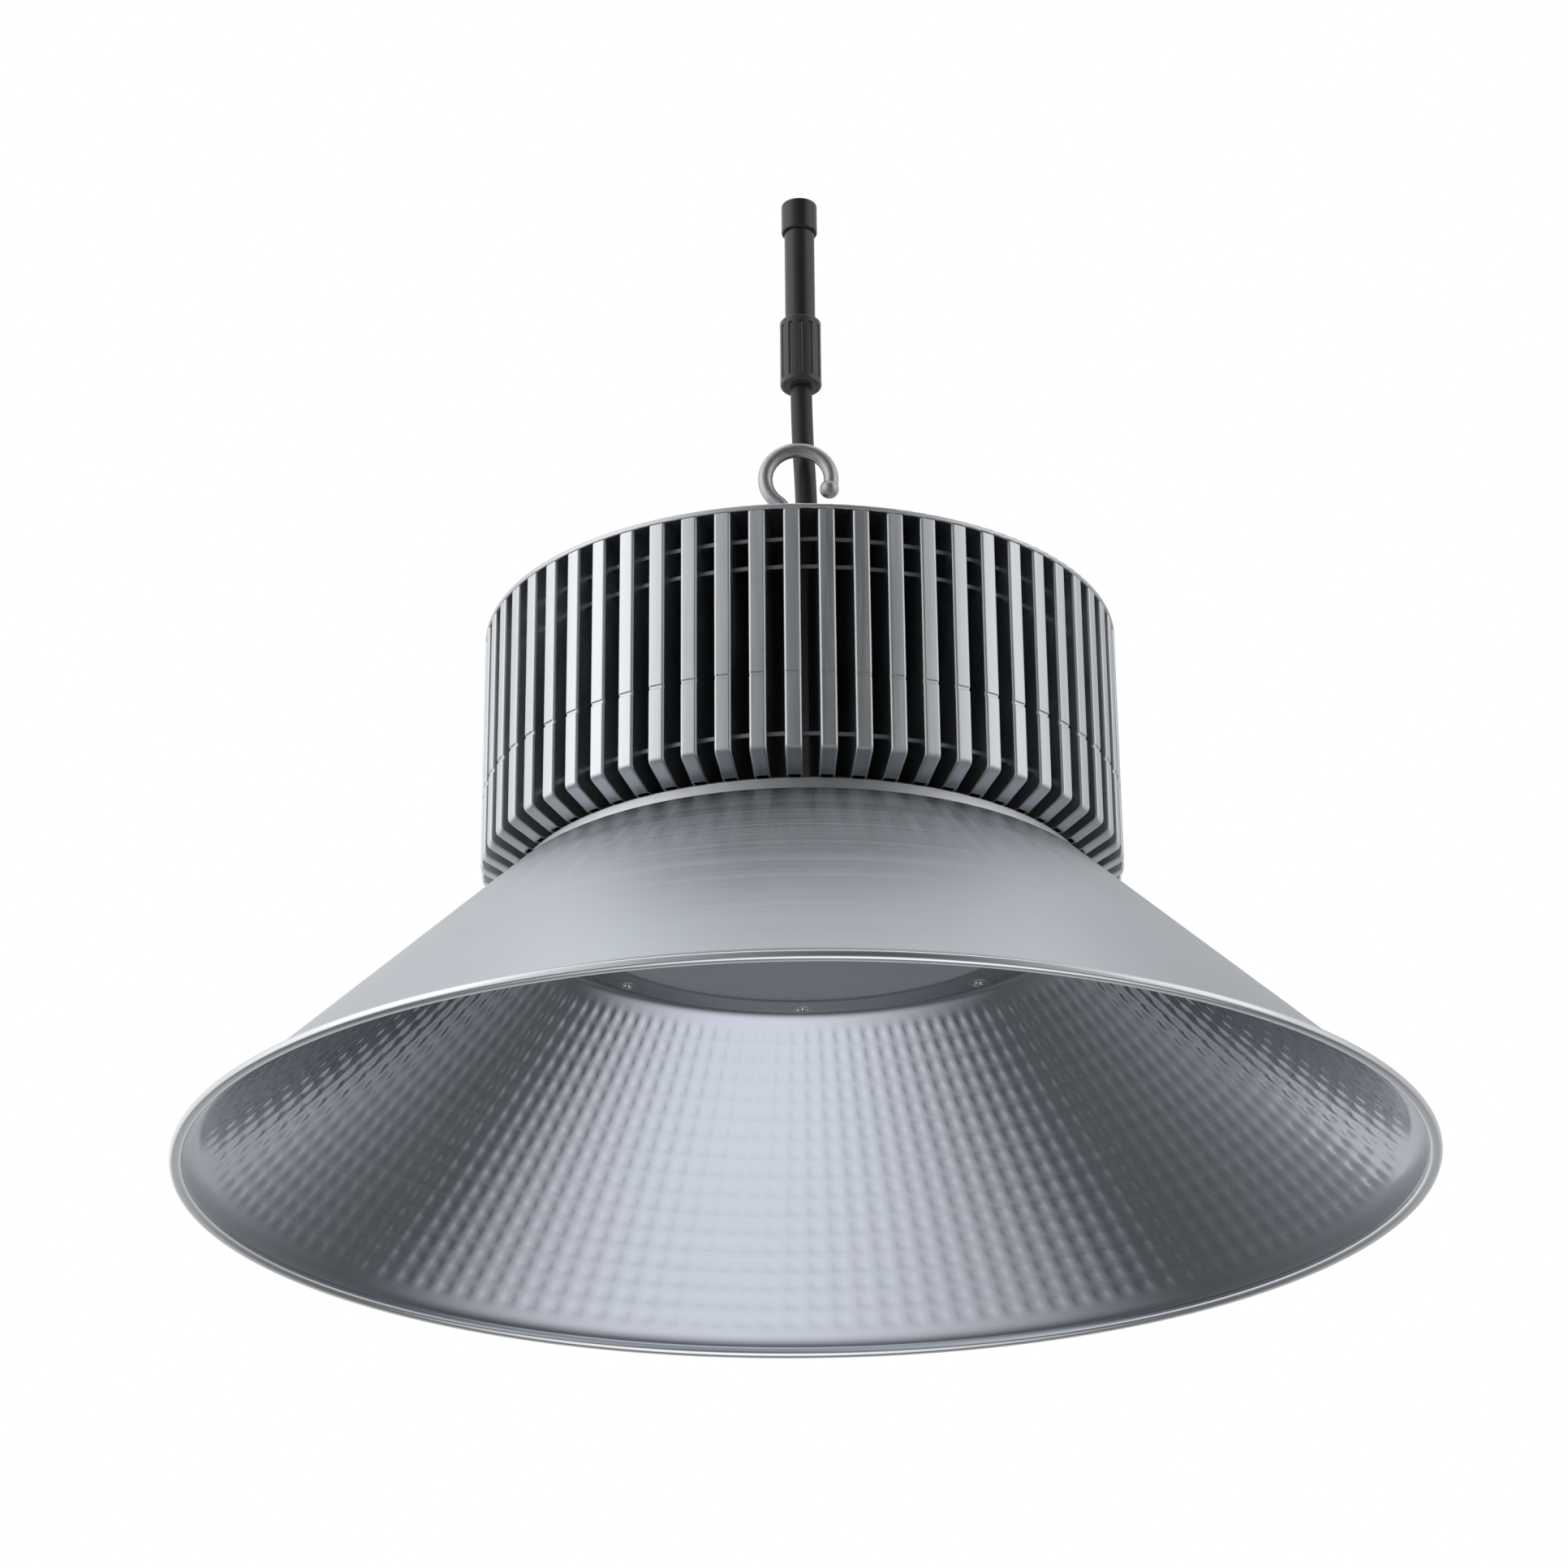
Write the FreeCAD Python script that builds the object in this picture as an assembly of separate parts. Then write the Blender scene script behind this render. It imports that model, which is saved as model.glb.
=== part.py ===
import FreeCAD, Part
import math
import os

# High bay light: an LED lamp whose finned heat sink sits on top of a spun bell reflector.
# Z is the axis of the lamp. The origin is the centre of the rim plane, so the lamp stands on its rim.
# Everything is in millimetres. Radii end in _R, heights above the rim plane in _Z, sheet and plate
# thicknesses in _T.

# Reflector: one spun sheet with a hemmed rim, a straight cone and a flat collar
RIM_R = 240.0
REFLECTOR_T = 1.5
HEM_H = 2.9            # height of the folded hem at the rim
HEM_W = 5.0            # width of the folded hem
HEM_ROUND = 1.3        # rounding of the hem's outer edges
FLANGE_W = 8.7         # flatter lip outside the cone
FLANGE_RISE = 6.0      # height of the corner between lip and cone
FLANGE_BEND = 6.0
COLLAR_Z = 115.0       # top of the collar, where the base plate lies
CONE_TOP_R = 117.8     # radius at which the cone would meet the collar
SHOULDER_BEND = 10.0
COLLAR_LAP = 6.5       # how far the collar reaches in over the lens

# Lens and the frame that holds it under the collar
SHOULDER_ROOM = 12.8   # from the top of the cone in to the frame
FRAME_RING_W = 8.0     # width of the frame outside the lens
FRAME_LIP_W = 4.5      # how far the lip reaches in under the lens
FRAME_LIP_H = 1.0
FRAME_EDGE_ROUND = 1.2
LENS_T = 2.6
LENS_BEVEL = 0.4
GASKET_T = 0.8
GASKET_W = 4.0
LENS_CLEARANCE = 0.5   # room around the lens in its frame
FRAME_SCREWS = 8
FRAME_SCREW_EDGE = 4.0  # from the frame's rim in to its screws

# Base plate: spreads the heat of the LED board into the fins
BASE_PLATE_MARGIN = 8.0  # past the lens frame
BASE_PLATE_T = 6.0
BASE_PLATE_BEVEL = 0.8
BOARD_RECESS = 3.0
BOARD_CLEARANCE = 2.0  # room around the LED board in its recess
PAD_T = 0.5
BOARD_INSET = 6.0      # from the collar's opening in to the board
BOARD_T = 1.6
BOARD_SCREWS = 4
BOARD_SCREW_EDGE = 5.0  # from the board's rim in to its screws
BOARD_SCREW_ANGLE = 45.0
CHIP_L = 5.6
CHIP_W = 3.0
CHIP_T = 0.8
INNER_RINGS_R = [16.0, 32.0, 48.0]     # inner rings of chips
OUTER_RING_EDGE = 18.0  # from the board's rim in to the outer ring
CHIP_COUNTS = [6, 12, 18, 24]          # chips in each ring, from the inside out
LEAD_HOLE_R = 7.0
LEAD_HOLE_Y = 30.0
LEAD_R = 1.2
LEAD_SPACING = 6.0

# Heat sink: folded channels around a thick core tube
FINS = 60
FIN_PHASE = -1.5       # degrees by which the first fin is turned from the lamp's front
FIN_R = 126.0
FIN_T = 0.8
FIN_FILL = 0.5         # share of the pitch that a channel's outer face covers
FIN_H = 103.6
FIN_FOOT_W = 11.0      # width and height of the sloped foot of a fin
FIN_FOOT_H = 6.0
CORE_R = 54.0
CORE_BORE_R = 42.0
TAB_HEIGHTS = [12.7, 81.0, 92.5]   # interlocking tabs, above the foot of the fins
TAB_INSET = 6.5        # from the fins' outer faces in to the tabs
TAB_T = 1.0
TAB_H = 1.6
TAB_CLEARANCE = 0.05
CORE_SCREWS = 4
CORE_SCREW_CIRCLE_R = 48.0
CORE_SCREW_DEPTH = 9.0
TOP_SCREW_ANGLE = 45.0

# Top plate and driver cover
TOP_PLATE_T = 2.2
TOP_PLATE_ROUND = 0.6
SEAL_T = 0.8
COVER_R = 58.0
COVER_H = 31.0         # from the top plate to the cover's top
COVER_T = 2.0
COVER_ROUND = 8.0
COVER_FLANGE_W = 9.0
COVER_FOOT_ROUND = 0.8  # between the cup and its flange
COVER_SCREWS = 6
COVER_SCREW_ANGLE = 30.0

# Driver in the core tube
DRIVER_R = 38.0
DRIVER_H = 84.0
DRIVER_ROUND = 2.5
STANDOFF_COUNT = 3
STANDOFF_ANGLE = 30.0
STANDOFF_CIRCLE_R = 30.0
STANDOFF_R = 5.0
STANDOFF_H = 8.0
STANDOFF_PIN_R = 2.0
STANDOFF_PIN_L = 2.0

# Hanging boss, hook and lock nut
BOSS_R = 19.0
BOSS_H = 21.0
BOSS_FLANGE_R = 27.5
BOSS_FLANGE_T = 3.0
BOSS_BEVEL = 1.5
BOSS_SCREWS = 3
BOSS_SCREW_CIRCLE_R = 23.3
BOSS_SCREW_ANGLE = 30.0
HOOK_R = 3.0           # radius of the bar, threaded M6 below the lock nut
HOOK_RING_R = 13.5     # radius of the bar's centre line round the eye
HOOK_ABOVE_BOSS = 24.0  # from the boss's top to the centre of the eye
HOOK_SHANK_X = -6.0
HOOK_NECK_BEND = 6.0
HOOK_END_ANGLE = 290.0  # where the open eye ends, from straight down, over the left side
HOOK_TIP_R = 3.9
HOOK_THREAD_L = 14.0
NUT_AF = 10.0          # M6 lock nut, across its flats
NUT_H = 5.0

# Mains lead, its grommet and its connector
CABLE_R = 4.5
CABLE_X = 3.5
CABLE_Y = 10.5
CABLE_HOLE_R = 5.1
GROMMET_BODY_R = 6.2
GROMMET_FLANGE_R = 7.2
GROMMET_FLANGE_T = 2.0
GROMMET_DEPTH = 14.0
DRIVER_OUTLET_X = 1.0   # where the lead leaves the driver
DRIVER_OUTLET_Y = 8.0
OUTLET_H = 15.0        # straight stretch above the driver
OUTLET_LEAN_H = 23.0   # stretch that leans over to the boss
CABLE_BEND_Z = 298.0   # where the lead leaves its straight way up through the boss
CABLE_LEAN_Z = 334.0   # where it is straight again
CABLE_END_X = 1.6
CONNECTOR_Z = 351.0    # underside of the connector's clamping nut
CLAMP_NUT_R = 8.6
CLAMP_NUT_H = 31.0
CLAMP_NUT_ROUND = 1.5
CLAMP_NUT_FLUTES = 12
CLAMP_NUT_FLUTE_R = 1.1
CLAMP_NUT_FLUTE_DEPTH = 0.66
CLAMP_NUT_BAND = 3.0   # plain band at each end of the flutes
COLLAR_ROUND = 0.8
CONNECTOR_SEAL_H = 6.0
CONNECTOR_SEAL_Z = 13.0   # above the clamping nut's underside
CONNECTOR_R = 6.3
CONNECTOR_H = 88.0     # whole connector
CONNECTOR_COLLAR_R = 7.5
CONNECTOR_COLLAR_H = 14.0
SOCKET_R = 5.4
SOCKET_DEPTH = 12.0
INSERT_H = 8.0
CONTACT_COUNT = 3
CONTACT_CIRCLE_R = 2.8
CONTACT_R = 0.9
CONTACT_H = 10.0

# Screws: shank radius, head radius, head height
M3_PAN = (1.5, 2.8, 1.4)
M4_PAN = (2.0, 3.6, 2.4)
M4_FLAT = (2.0, 3.9, 1.9)
M4_NUT_AF = 7.0
M4_NUT_H = 3.2
SCREW_CLEARANCE = 0.2
SCREW_BITE = 2.0       # thread length in a tapped plate
SCREW_END = 1.5        # left free past a nut, or short of a plate's far face
OVERCUT = 1.0          # how far a cutting tool runs past the face it opens

# Heights that follow from the sizes above
FRAME_TOP_Z = COLLAR_Z - REFLECTOR_T
LENS_TOP_Z = FRAME_TOP_Z - GASKET_T
LENS_Z = LENS_TOP_Z - LENS_T
FRAME_Z = LENS_Z - FRAME_LIP_H
RECESS_Z = COLLAR_Z + BOARD_RECESS
BOARD_TOP_Z = RECESS_Z - PAD_T
BOARD_Z = BOARD_TOP_Z - BOARD_T
FIN_Z = COLLAR_Z + BASE_PLATE_T
TOP_PLATE_Z = FIN_Z + FIN_H
TOP_Z = TOP_PLATE_Z + TOP_PLATE_T
FRAME_R = CONE_TOP_R - SHOULDER_ROOM
FRAME_SCREW_CIRCLE_R = FRAME_R - FRAME_SCREW_EDGE
LENS_R = FRAME_R - FRAME_RING_W - LENS_CLEARANCE
FRAME_OPENING_R = LENS_R - FRAME_LIP_W
APERTURE_R = LENS_R - COLLAR_LAP        # opening of the reflector's collar
BASE_PLATE_R = FRAME_R + BASE_PLATE_MARGIN
BOARD_R = APERTURE_R - BOARD_INSET
BOARD_SCREW_CIRCLE_R = BOARD_R - BOARD_SCREW_EDGE
CHIP_RING_R = INNER_RINGS_R + [BOARD_R - OUTER_RING_EDGE]
TOP_PLATE_R = FIN_R                     # flush with the fins
FIN_FOOT_R = FIN_R - FIN_FOOT_W
TAB_R = FIN_R - TAB_INSET
COVER_Z = TOP_Z + SEAL_T
COVER_TOP_Z = TOP_Z + COVER_H
BOSS_TOP_Z = COVER_TOP_Z + BOSS_H
EYE_Z = BOSS_TOP_Z + HOOK_ABOVE_BOSS
DRIVER_Z = FIN_Z + STANDOFF_H
DRIVER_TOP_Z = DRIVER_Z + DRIVER_H
CABLE_END_Z = CONNECTOR_Z + CONNECTOR_SEAL_Z + CONNECTOR_SEAL_H

HALF_FIN = 180.0 / FINS * FIN_FILL      # half the angle that a channel covers
COVER_SCREW_CIRCLE_R = COVER_R + COVER_FLANGE_W / 2.0


def vec(x, y, z):
    return FreeCAD.Vector(x, y, z)


def rounded_wire(corners, closed=True):
    """Wire through (x, y, z, round) corners: each corner is rounded by a tangent arc."""
    count = len(corners)
    edges = []
    start = None
    first = None
    for i, corner in enumerate(corners):
        here = vec(*corner[:3])
        inner = closed or 0 < i < count - 1
        if corner[3] > 0 and inner:
            back = (vec(*corners[i - 1][:3]) - here).normalize()
            ahead = (vec(*corners[(i + 1) % count][:3]) - here).normalize()
            half = back.getAngle(ahead) / 2.0
            reach = corner[3] / math.tan(half)
            enter = here + back * reach
            leave = here + ahead * reach
            bisector = (back + ahead).normalize()
            middle = here + bisector * (corner[3] / math.sin(half) - corner[3])
            arc = Part.Arc(enter, middle, leave).toShape()
        else:
            enter = here
            leave = here
            arc = None
        if start is not None:
            edges.append(Part.makeLine(start, enter))
        if first is None:
            first = enter
        if arc is not None:
            edges.append(arc)
        start = leave
    if closed:
        edges.append(Part.makeLine(start, first))
    return Part.Wire(edges)


def turned(corners):
    """Solid of revolution about Z from (radius, height, round) corners."""
    outline = rounded_wire([(r, 0.0, z, turn) for r, z, turn in corners])
    return Part.Face(outline).revolve(vec(0, 0, 0), vec(0, 0, 1), 360)


def disc(radius, z, height, bevel=0.0):
    solid = Part.makeCylinder(radius, height, vec(0, 0, z))
    if bevel > 0:
        rims = [edge for edge in solid.Edges if edge.Closed]
        solid = solid.makeChamfer(bevel, rims)
    return solid


def ring(outer, inner, z, height):
    return disc(outer, z, height).cut(disc(inner, z - OVERCUT, height + 2 * OVERCUT))


def around(solid, count, start=0.0):
    """Copies of a solid, evenly turned about Z from a start angle in degrees."""
    copies = []
    for i in range(count):
        copy = solid.copy()
        copy.rotate(vec(0, 0, 0), vec(0, 0, 1), start + 360.0 * i / count)
        copies.append(copy)
    return copies


def holes(radius, circle_r, count, start, z, height):
    """Cylinders to drill a circle of holes."""
    tool = Part.makeCylinder(radius, height, vec(circle_r, 0, z))
    return around(tool, count, start)


def pan_screw(size, x, z, length, up=1):
    """Pan head screw at radius x, seated at height z, with its shank along -Z times up."""
    shank_r, head_r, head_h = size
    dome = disc(head_r, 0, head_h)
    dome = dome.makeFillet(head_h * 0.45, [edge for edge in dome.Edges if edge.Closed][:1])
    screw = dome.fuse(Part.makeCylinder(shank_r, length, vec(0, 0, -length))).removeSplitter()
    if up < 0:
        screw.rotate(vec(0, 0, 0), vec(1, 0, 0), 180)
    screw.translate(vec(x, 0, z))
    return screw


def flat_screw(size, x, z, length, up=1):
    """Countersunk screw with its head flush at height z, and its shank along -Z times up."""
    shank_r, head_r, head_h = size
    cone = Part.makeCone(shank_r, head_r, head_h, vec(0, 0, -head_h))
    screw = cone.fuse(Part.makeCylinder(shank_r, length, vec(0, 0, -length))).removeSplitter()
    if up < 0:
        screw.rotate(vec(0, 0, 0), vec(1, 0, 0), 180)
    screw.translate(vec(x, 0, z))
    return screw


def hexagon(across_flats, bore_r, z, height):
    """Hexagon nut on the Z axis, with a plain bore."""
    corner_r = across_flats / math.sqrt(3.0)
    points = [vec(corner_r * math.cos(math.radians(60 * i)), corner_r * math.sin(math.radians(60 * i)), z)
              for i in range(7)]
    nut = Part.Face(Part.makePolygon(points)).extrude(vec(0, 0, height))
    crown = Part.makeCone(corner_r + 0.2, corner_r - 0.5, 0.7, vec(0, 0, z + height - 0.7))
    sleeve = disc(corner_r + 0.2, z, height - 0.7)
    nut = nut.common(sleeve.fuse(crown))
    return nut.cut(disc(bore_r, z - OVERCUT, height + 2 * OVERCUT))


def export(name, solids):
    """Write one node, made of one solid or of a group of separate ones."""
    shape = Part.makeCompound(solids) if isinstance(solids, list) else solids
    shape.exportStep("parts/" + name + ".step")
    print(name, len(shape.Solids), "solid(s)", round(shape.Volume / 1000.0, 2), "cm3")


# ---- reflector -------------------------------------------------------------------------------

def reflector_shell():
    """Spun bell: collar, rounded shoulder, straight cone, flatter lip and folded hem."""
    lip_r = RIM_R - FLANGE_W
    cone = vec(lip_r - CONE_TOP_R, 0, FLANGE_RISE - COLLAR_Z).normalize()
    lip = vec(FLANGE_W, 0, HEM_H - FLANGE_RISE).normalize()
    # the inside keeps the sheet's thickness along the collar, the cone and the lip
    shoulder_in = REFLECTOR_T * math.tan(math.atan2(-cone.z, cone.x) / 2.0)
    half_turn = (math.atan2(-cone.z, cone.x) - math.atan2(-lip.z, lip.x)) / 2.0
    mean = math.atan2(-cone.z, cone.x) - half_turn
    lip_in = REFLECTOR_T / math.cos(half_turn)
    inner_lip = (lip_r - lip_in * math.sin(mean), FLANGE_RISE - lip_in * math.cos(mean))
    hem_in_r = RIM_R - HEM_W
    hem_in_z = inner_lip[1] + (hem_in_r - inner_lip[0]) * lip.z / lip.x
    shell = turned([
        (APERTURE_R, COLLAR_Z, 0),
        (CONE_TOP_R, COLLAR_Z, SHOULDER_BEND),
        (lip_r, FLANGE_RISE, FLANGE_BEND),
        (RIM_R, HEM_H, HEM_ROUND),
        (RIM_R, 0, HEM_ROUND),
        (hem_in_r, 0, HEM_ROUND / 2.0),
        (hem_in_r, hem_in_z, 0),
        (inner_lip[0], inner_lip[1], FLANGE_BEND + REFLECTOR_T),
        (CONE_TOP_R - shoulder_in, FRAME_TOP_Z, SHOULDER_BEND - REFLECTOR_T),
        (APERTURE_R, FRAME_TOP_Z, 0),
    ])
    drill = holes(M4_FLAT[0] + SCREW_CLEARANCE, FRAME_SCREW_CIRCLE_R, FRAME_SCREWS, 0,
                  FRAME_TOP_Z - OVERCUT, REFLECTOR_T + 2 * OVERCUT)
    return shell.cut(drill)


# ---- lens ------------------------------------------------------------------------------------

def lens_frame():
    """Ring under the collar, with a lip that carries the lens."""
    seat_r = LENS_R + LENS_CLEARANCE
    frame = turned([
        (FRAME_OPENING_R, FRAME_Z, 0),
        (FRAME_R, FRAME_Z, FRAME_EDGE_ROUND),
        (FRAME_R, FRAME_TOP_Z, 0),
        (seat_r, FRAME_TOP_Z, 0),
        (seat_r, LENS_Z, 0),
        (FRAME_OPENING_R, LENS_Z, 0),
    ])
    screw = flat_screw(M4_FLAT, FRAME_SCREW_CIRCLE_R, FRAME_Z, FRAME_TOP_Z - FRAME_Z + OVERCUT, -1)
    return frame.cut(around(screw, FRAME_SCREWS))


def lens():
    return disc(LENS_R, LENS_Z, LENS_T, LENS_BEVEL)


def lens_gasket():
    return ring(LENS_R, LENS_R - GASKET_W, LENS_TOP_Z, GASKET_T)


FRAME_SCREW_L = FRAME_TOP_Z - FRAME_Z + REFLECTOR_T + BASE_PLATE_T - SCREW_END


def lens_frame_screws():
    screw = flat_screw(M4_FLAT, FRAME_SCREW_CIRCLE_R, FRAME_Z, FRAME_SCREW_L, -1)
    return around(screw, FRAME_SCREWS)


# ---- base plate and LED board ----------------------------------------------------------------

BOARD_SCREW_L = BOARD_T + PAD_T + SCREW_BITE


def core_screw(z, up):
    return flat_screw(M4_FLAT, CORE_SCREW_CIRCLE_R, z, CORE_SCREW_DEPTH, up)


def base_plate():
    plate = disc(BASE_PLATE_R, COLLAR_Z, BASE_PLATE_T, BASE_PLATE_BEVEL)
    plate = plate.cut(disc(BOARD_R + BOARD_CLEARANCE, COLLAR_Z - OVERCUT, BOARD_RECESS + OVERCUT))
    tools = around(flat_screw(M4_FLAT, FRAME_SCREW_CIRCLE_R, FRAME_Z, FRAME_SCREW_L, -1), FRAME_SCREWS)
    tools += around(core_screw(RECESS_Z, -1), CORE_SCREWS)
    tools += holes(M3_PAN[0], BOARD_SCREW_CIRCLE_R, BOARD_SCREWS, BOARD_SCREW_ANGLE,
                   RECESS_Z - OVERCUT, SCREW_BITE + OVERCUT)
    tools += holes(STANDOFF_PIN_R, STANDOFF_CIRCLE_R, STANDOFF_COUNT, STANDOFF_ANGLE,
                   FIN_Z - STANDOFF_PIN_L, STANDOFF_PIN_L + OVERCUT)
    tools.append(Part.makeCylinder(LEAD_HOLE_R, BASE_PLATE_T + OVERCUT,
                                   vec(0, LEAD_HOLE_Y, RECESS_Z - OVERCUT)))
    return plate.cut(tools)


def core_screws():
    return around(core_screw(RECESS_Z, -1), CORE_SCREWS)


def thermal_pad():
    pad = disc(BOARD_R, BOARD_TOP_Z, PAD_T)
    drill = holes(M3_PAN[0] + SCREW_CLEARANCE, BOARD_SCREW_CIRCLE_R, BOARD_SCREWS, BOARD_SCREW_ANGLE,
                  BOARD_TOP_Z - OVERCUT, PAD_T + 2 * OVERCUT)
    drill.append(Part.makeCylinder(LEAD_HOLE_R, PAD_T + 2 * OVERCUT,
                                   vec(0, LEAD_HOLE_Y, BOARD_TOP_Z - OVERCUT)))
    return pad.cut(drill)


def led_board():
    board = disc(BOARD_R, BOARD_Z, BOARD_T)
    return board.cut(holes(M3_PAN[0] + SCREW_CLEARANCE, BOARD_SCREW_CIRCLE_R, BOARD_SCREWS, BOARD_SCREW_ANGLE,
                           BOARD_Z - OVERCUT, BOARD_T + 2 * OVERCUT))


def led_chips():
    chips = []
    for ring_r, count in zip(CHIP_RING_R, CHIP_COUNTS):
        corner = vec(ring_r - CHIP_W / 2.0, -CHIP_L / 2.0, BOARD_Z - CHIP_T)
        chips += around(Part.makeBox(CHIP_W, CHIP_L, CHIP_T, corner), count)
    return chips


def led_board_screws():
    screw = pan_screw(M3_PAN, BOARD_SCREW_CIRCLE_R, BOARD_Z, BOARD_SCREW_L, -1)
    return around(screw, BOARD_SCREWS, BOARD_SCREW_ANGLE)


def led_leads():
    """Two short leads from the board, up through the plate, to the driver."""
    length = DRIVER_Z - BOARD_TOP_Z
    return [Part.makeCylinder(LEAD_R, length, vec(side * LEAD_SPACING / 2.0, LEAD_HOLE_Y, BOARD_TOP_Z))
            for side in (-1, 1)]


# ---- heat sink -------------------------------------------------------------------------------

def wedge(corners, angle, inset):
    """Solid between two planes through the axis, at plus and minus an angle, each moved in by inset."""
    slope = math.tan(math.radians(angle))
    shift = inset / math.cos(math.radians(angle))
    sides = []
    for side in (-1, 1):
        points = [vec(x, side * (x * slope - shift), z) for x, z in corners]
        sides.append(Part.makePolygon(points + points[:1]))
    return Part.makeLoft(sides, True, True)


def cooling_fin():
    """Folded channel: two radial webs joined by an outer face, which follows the sloped foot."""
    slope = math.atan2(FIN_FOOT_H, FIN_R - FIN_FOOT_R)
    body = wedge([
        (CORE_R, FIN_Z),
        (FIN_FOOT_R, FIN_Z),
        (FIN_R, FIN_Z + FIN_FOOT_H),
        (FIN_R, FIN_Z + FIN_H),
        (CORE_R, FIN_Z + FIN_H),
    ], HALF_FIN, 0.0)
    # the same outline moved in by the sheet's thickness, open below, above and towards the core
    bottom_z = FIN_Z - OVERCUT
    inner_foot_r = FIN_FOOT_R - (FIN_T / math.cos(slope) + OVERCUT) / math.tan(slope)
    inner_r = FIN_R - FIN_T
    inner_foot_z = bottom_z + (inner_r - inner_foot_r) * math.tan(slope)
    hollow = wedge([
        (CORE_R - OVERCUT, bottom_z),
        (inner_foot_r, bottom_z),
        (inner_r, inner_foot_z),
        (inner_r, FIN_Z + FIN_H + OVERCUT),
        (CORE_R - OVERCUT, FIN_Z + FIN_H + OVERCUT),
    ], HALF_FIN, FIN_T)
    fin = body.cut(hollow)
    near = math.tan(math.radians(HALF_FIN))
    far = math.tan(math.radians(360.0 / FINS - HALF_FIN))
    for height in TAB_HEIGHTS:
        z = FIN_Z + height
        points = [
            vec(TAB_R, TAB_R * near, z),
            vec(TAB_R + TAB_T, (TAB_R + TAB_T) * near, z),
            vec(TAB_R + TAB_T, (TAB_R + TAB_T) * far - TAB_CLEARANCE, z),
            vec(TAB_R, TAB_R * far - TAB_CLEARANCE, z),
        ]
        tab = Part.Face(Part.makePolygon(points + points[:1])).extrude(vec(0, 0, TAB_H))
        fin = fin.fuse(tab)
    return fin.removeSplitter()


def cooling_fins():
    return around(cooling_fin(), FINS, -90.0 + FIN_PHASE)


def core_tube():
    tube = ring(CORE_R, CORE_BORE_R, FIN_Z, FIN_H)
    tools = around(core_screw(RECESS_Z, -1), CORE_SCREWS)
    tools += around(core_screw(TOP_Z, 1), CORE_SCREWS, TOP_SCREW_ANGLE)
    return tube.cut(tools)


def top_plate():
    """Disc that closes the fins above, clamped to the core."""
    plate = turned([
        (CORE_BORE_R, TOP_PLATE_Z, 0),
        (TOP_PLATE_R, TOP_PLATE_Z, TOP_PLATE_ROUND),
        (TOP_PLATE_R, TOP_Z, TOP_PLATE_ROUND),
        (CORE_BORE_R, TOP_Z, 0),
    ])
    tools = around(core_screw(TOP_Z, 1), CORE_SCREWS, TOP_SCREW_ANGLE)
    tools += holes(M4_PAN[0], COVER_SCREW_CIRCLE_R, COVER_SCREWS, COVER_SCREW_ANGLE,
                   TOP_PLATE_Z - OVERCUT, TOP_PLATE_T + 2 * OVERCUT)
    return plate.cut(tools)


def top_plate_screws():
    return around(core_screw(TOP_Z, 1), CORE_SCREWS, TOP_SCREW_ANGLE)


# ---- driver and its cover --------------------------------------------------------------------

def driver_standoffs():
    pillar = disc(STANDOFF_R, FIN_Z, STANDOFF_H)
    pin = disc(STANDOFF_PIN_R, FIN_Z - STANDOFF_PIN_L, STANDOFF_H + 2 * STANDOFF_PIN_L)
    standoff = pillar.fuse(pin)
    standoff.translate(vec(STANDOFF_CIRCLE_R, 0, 0))
    return around(standoff, STANDOFF_COUNT, STANDOFF_ANGLE)


def driver_module():
    """Potted driver, a plain can on three standoffs."""
    can = disc(DRIVER_R, DRIVER_Z, DRIVER_H)
    can = can.makeFillet(DRIVER_ROUND, [edge for edge in can.Edges if edge.Closed])
    return can.cut(holes(STANDOFF_PIN_R, STANDOFF_CIRCLE_R, STANDOFF_COUNT, STANDOFF_ANGLE,
                         DRIVER_Z - OVERCUT, STANDOFF_PIN_L + OVERCUT))


def cover_seal():
    seal = ring(COVER_R + COVER_FLANGE_W, COVER_R - COVER_T, TOP_Z, SEAL_T)
    return seal.cut(holes(M4_PAN[0] + SCREW_CLEARANCE, COVER_SCREW_CIRCLE_R, COVER_SCREWS, COVER_SCREW_ANGLE,
                          TOP_Z - OVERCUT, SEAL_T + 2 * OVERCUT))


def driver_cover():
    """Drawn cup with a flange, over the open top of the core."""
    inner_r = COVER_R - COVER_T
    flange_r = COVER_R + COVER_FLANGE_W
    cup = turned([
        (0, COVER_TOP_Z, 0),
        (COVER_R, COVER_TOP_Z, COVER_ROUND),
        (COVER_R, COVER_Z + COVER_T, COVER_FOOT_ROUND),
        (flange_r, COVER_Z + COVER_T, COVER_T / 3.0),
        (flange_r, COVER_Z, 0),
        (inner_r, COVER_Z, 0),
        (inner_r, COVER_TOP_Z - COVER_T, COVER_ROUND - COVER_T),
        (0, COVER_TOP_Z - COVER_T, 0),
    ])
    tools = holes(M4_PAN[0] + SCREW_CLEARANCE, COVER_SCREW_CIRCLE_R, COVER_SCREWS, COVER_SCREW_ANGLE,
                  COVER_Z - OVERCUT, COVER_T + 2 * OVERCUT)
    tools += holes(M4_PAN[0] + SCREW_CLEARANCE, BOSS_SCREW_CIRCLE_R, BOSS_SCREWS, BOSS_SCREW_ANGLE,
                   COVER_TOP_Z - COVER_T - OVERCUT, COVER_T + 2 * OVERCUT)
    tools.append(Part.makeCylinder(CABLE_HOLE_R, COVER_T + 2 * OVERCUT,
                                   vec(CABLE_X, CABLE_Y, COVER_TOP_Z - COVER_T - OVERCUT)))
    return cup.cut(tools)


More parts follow.
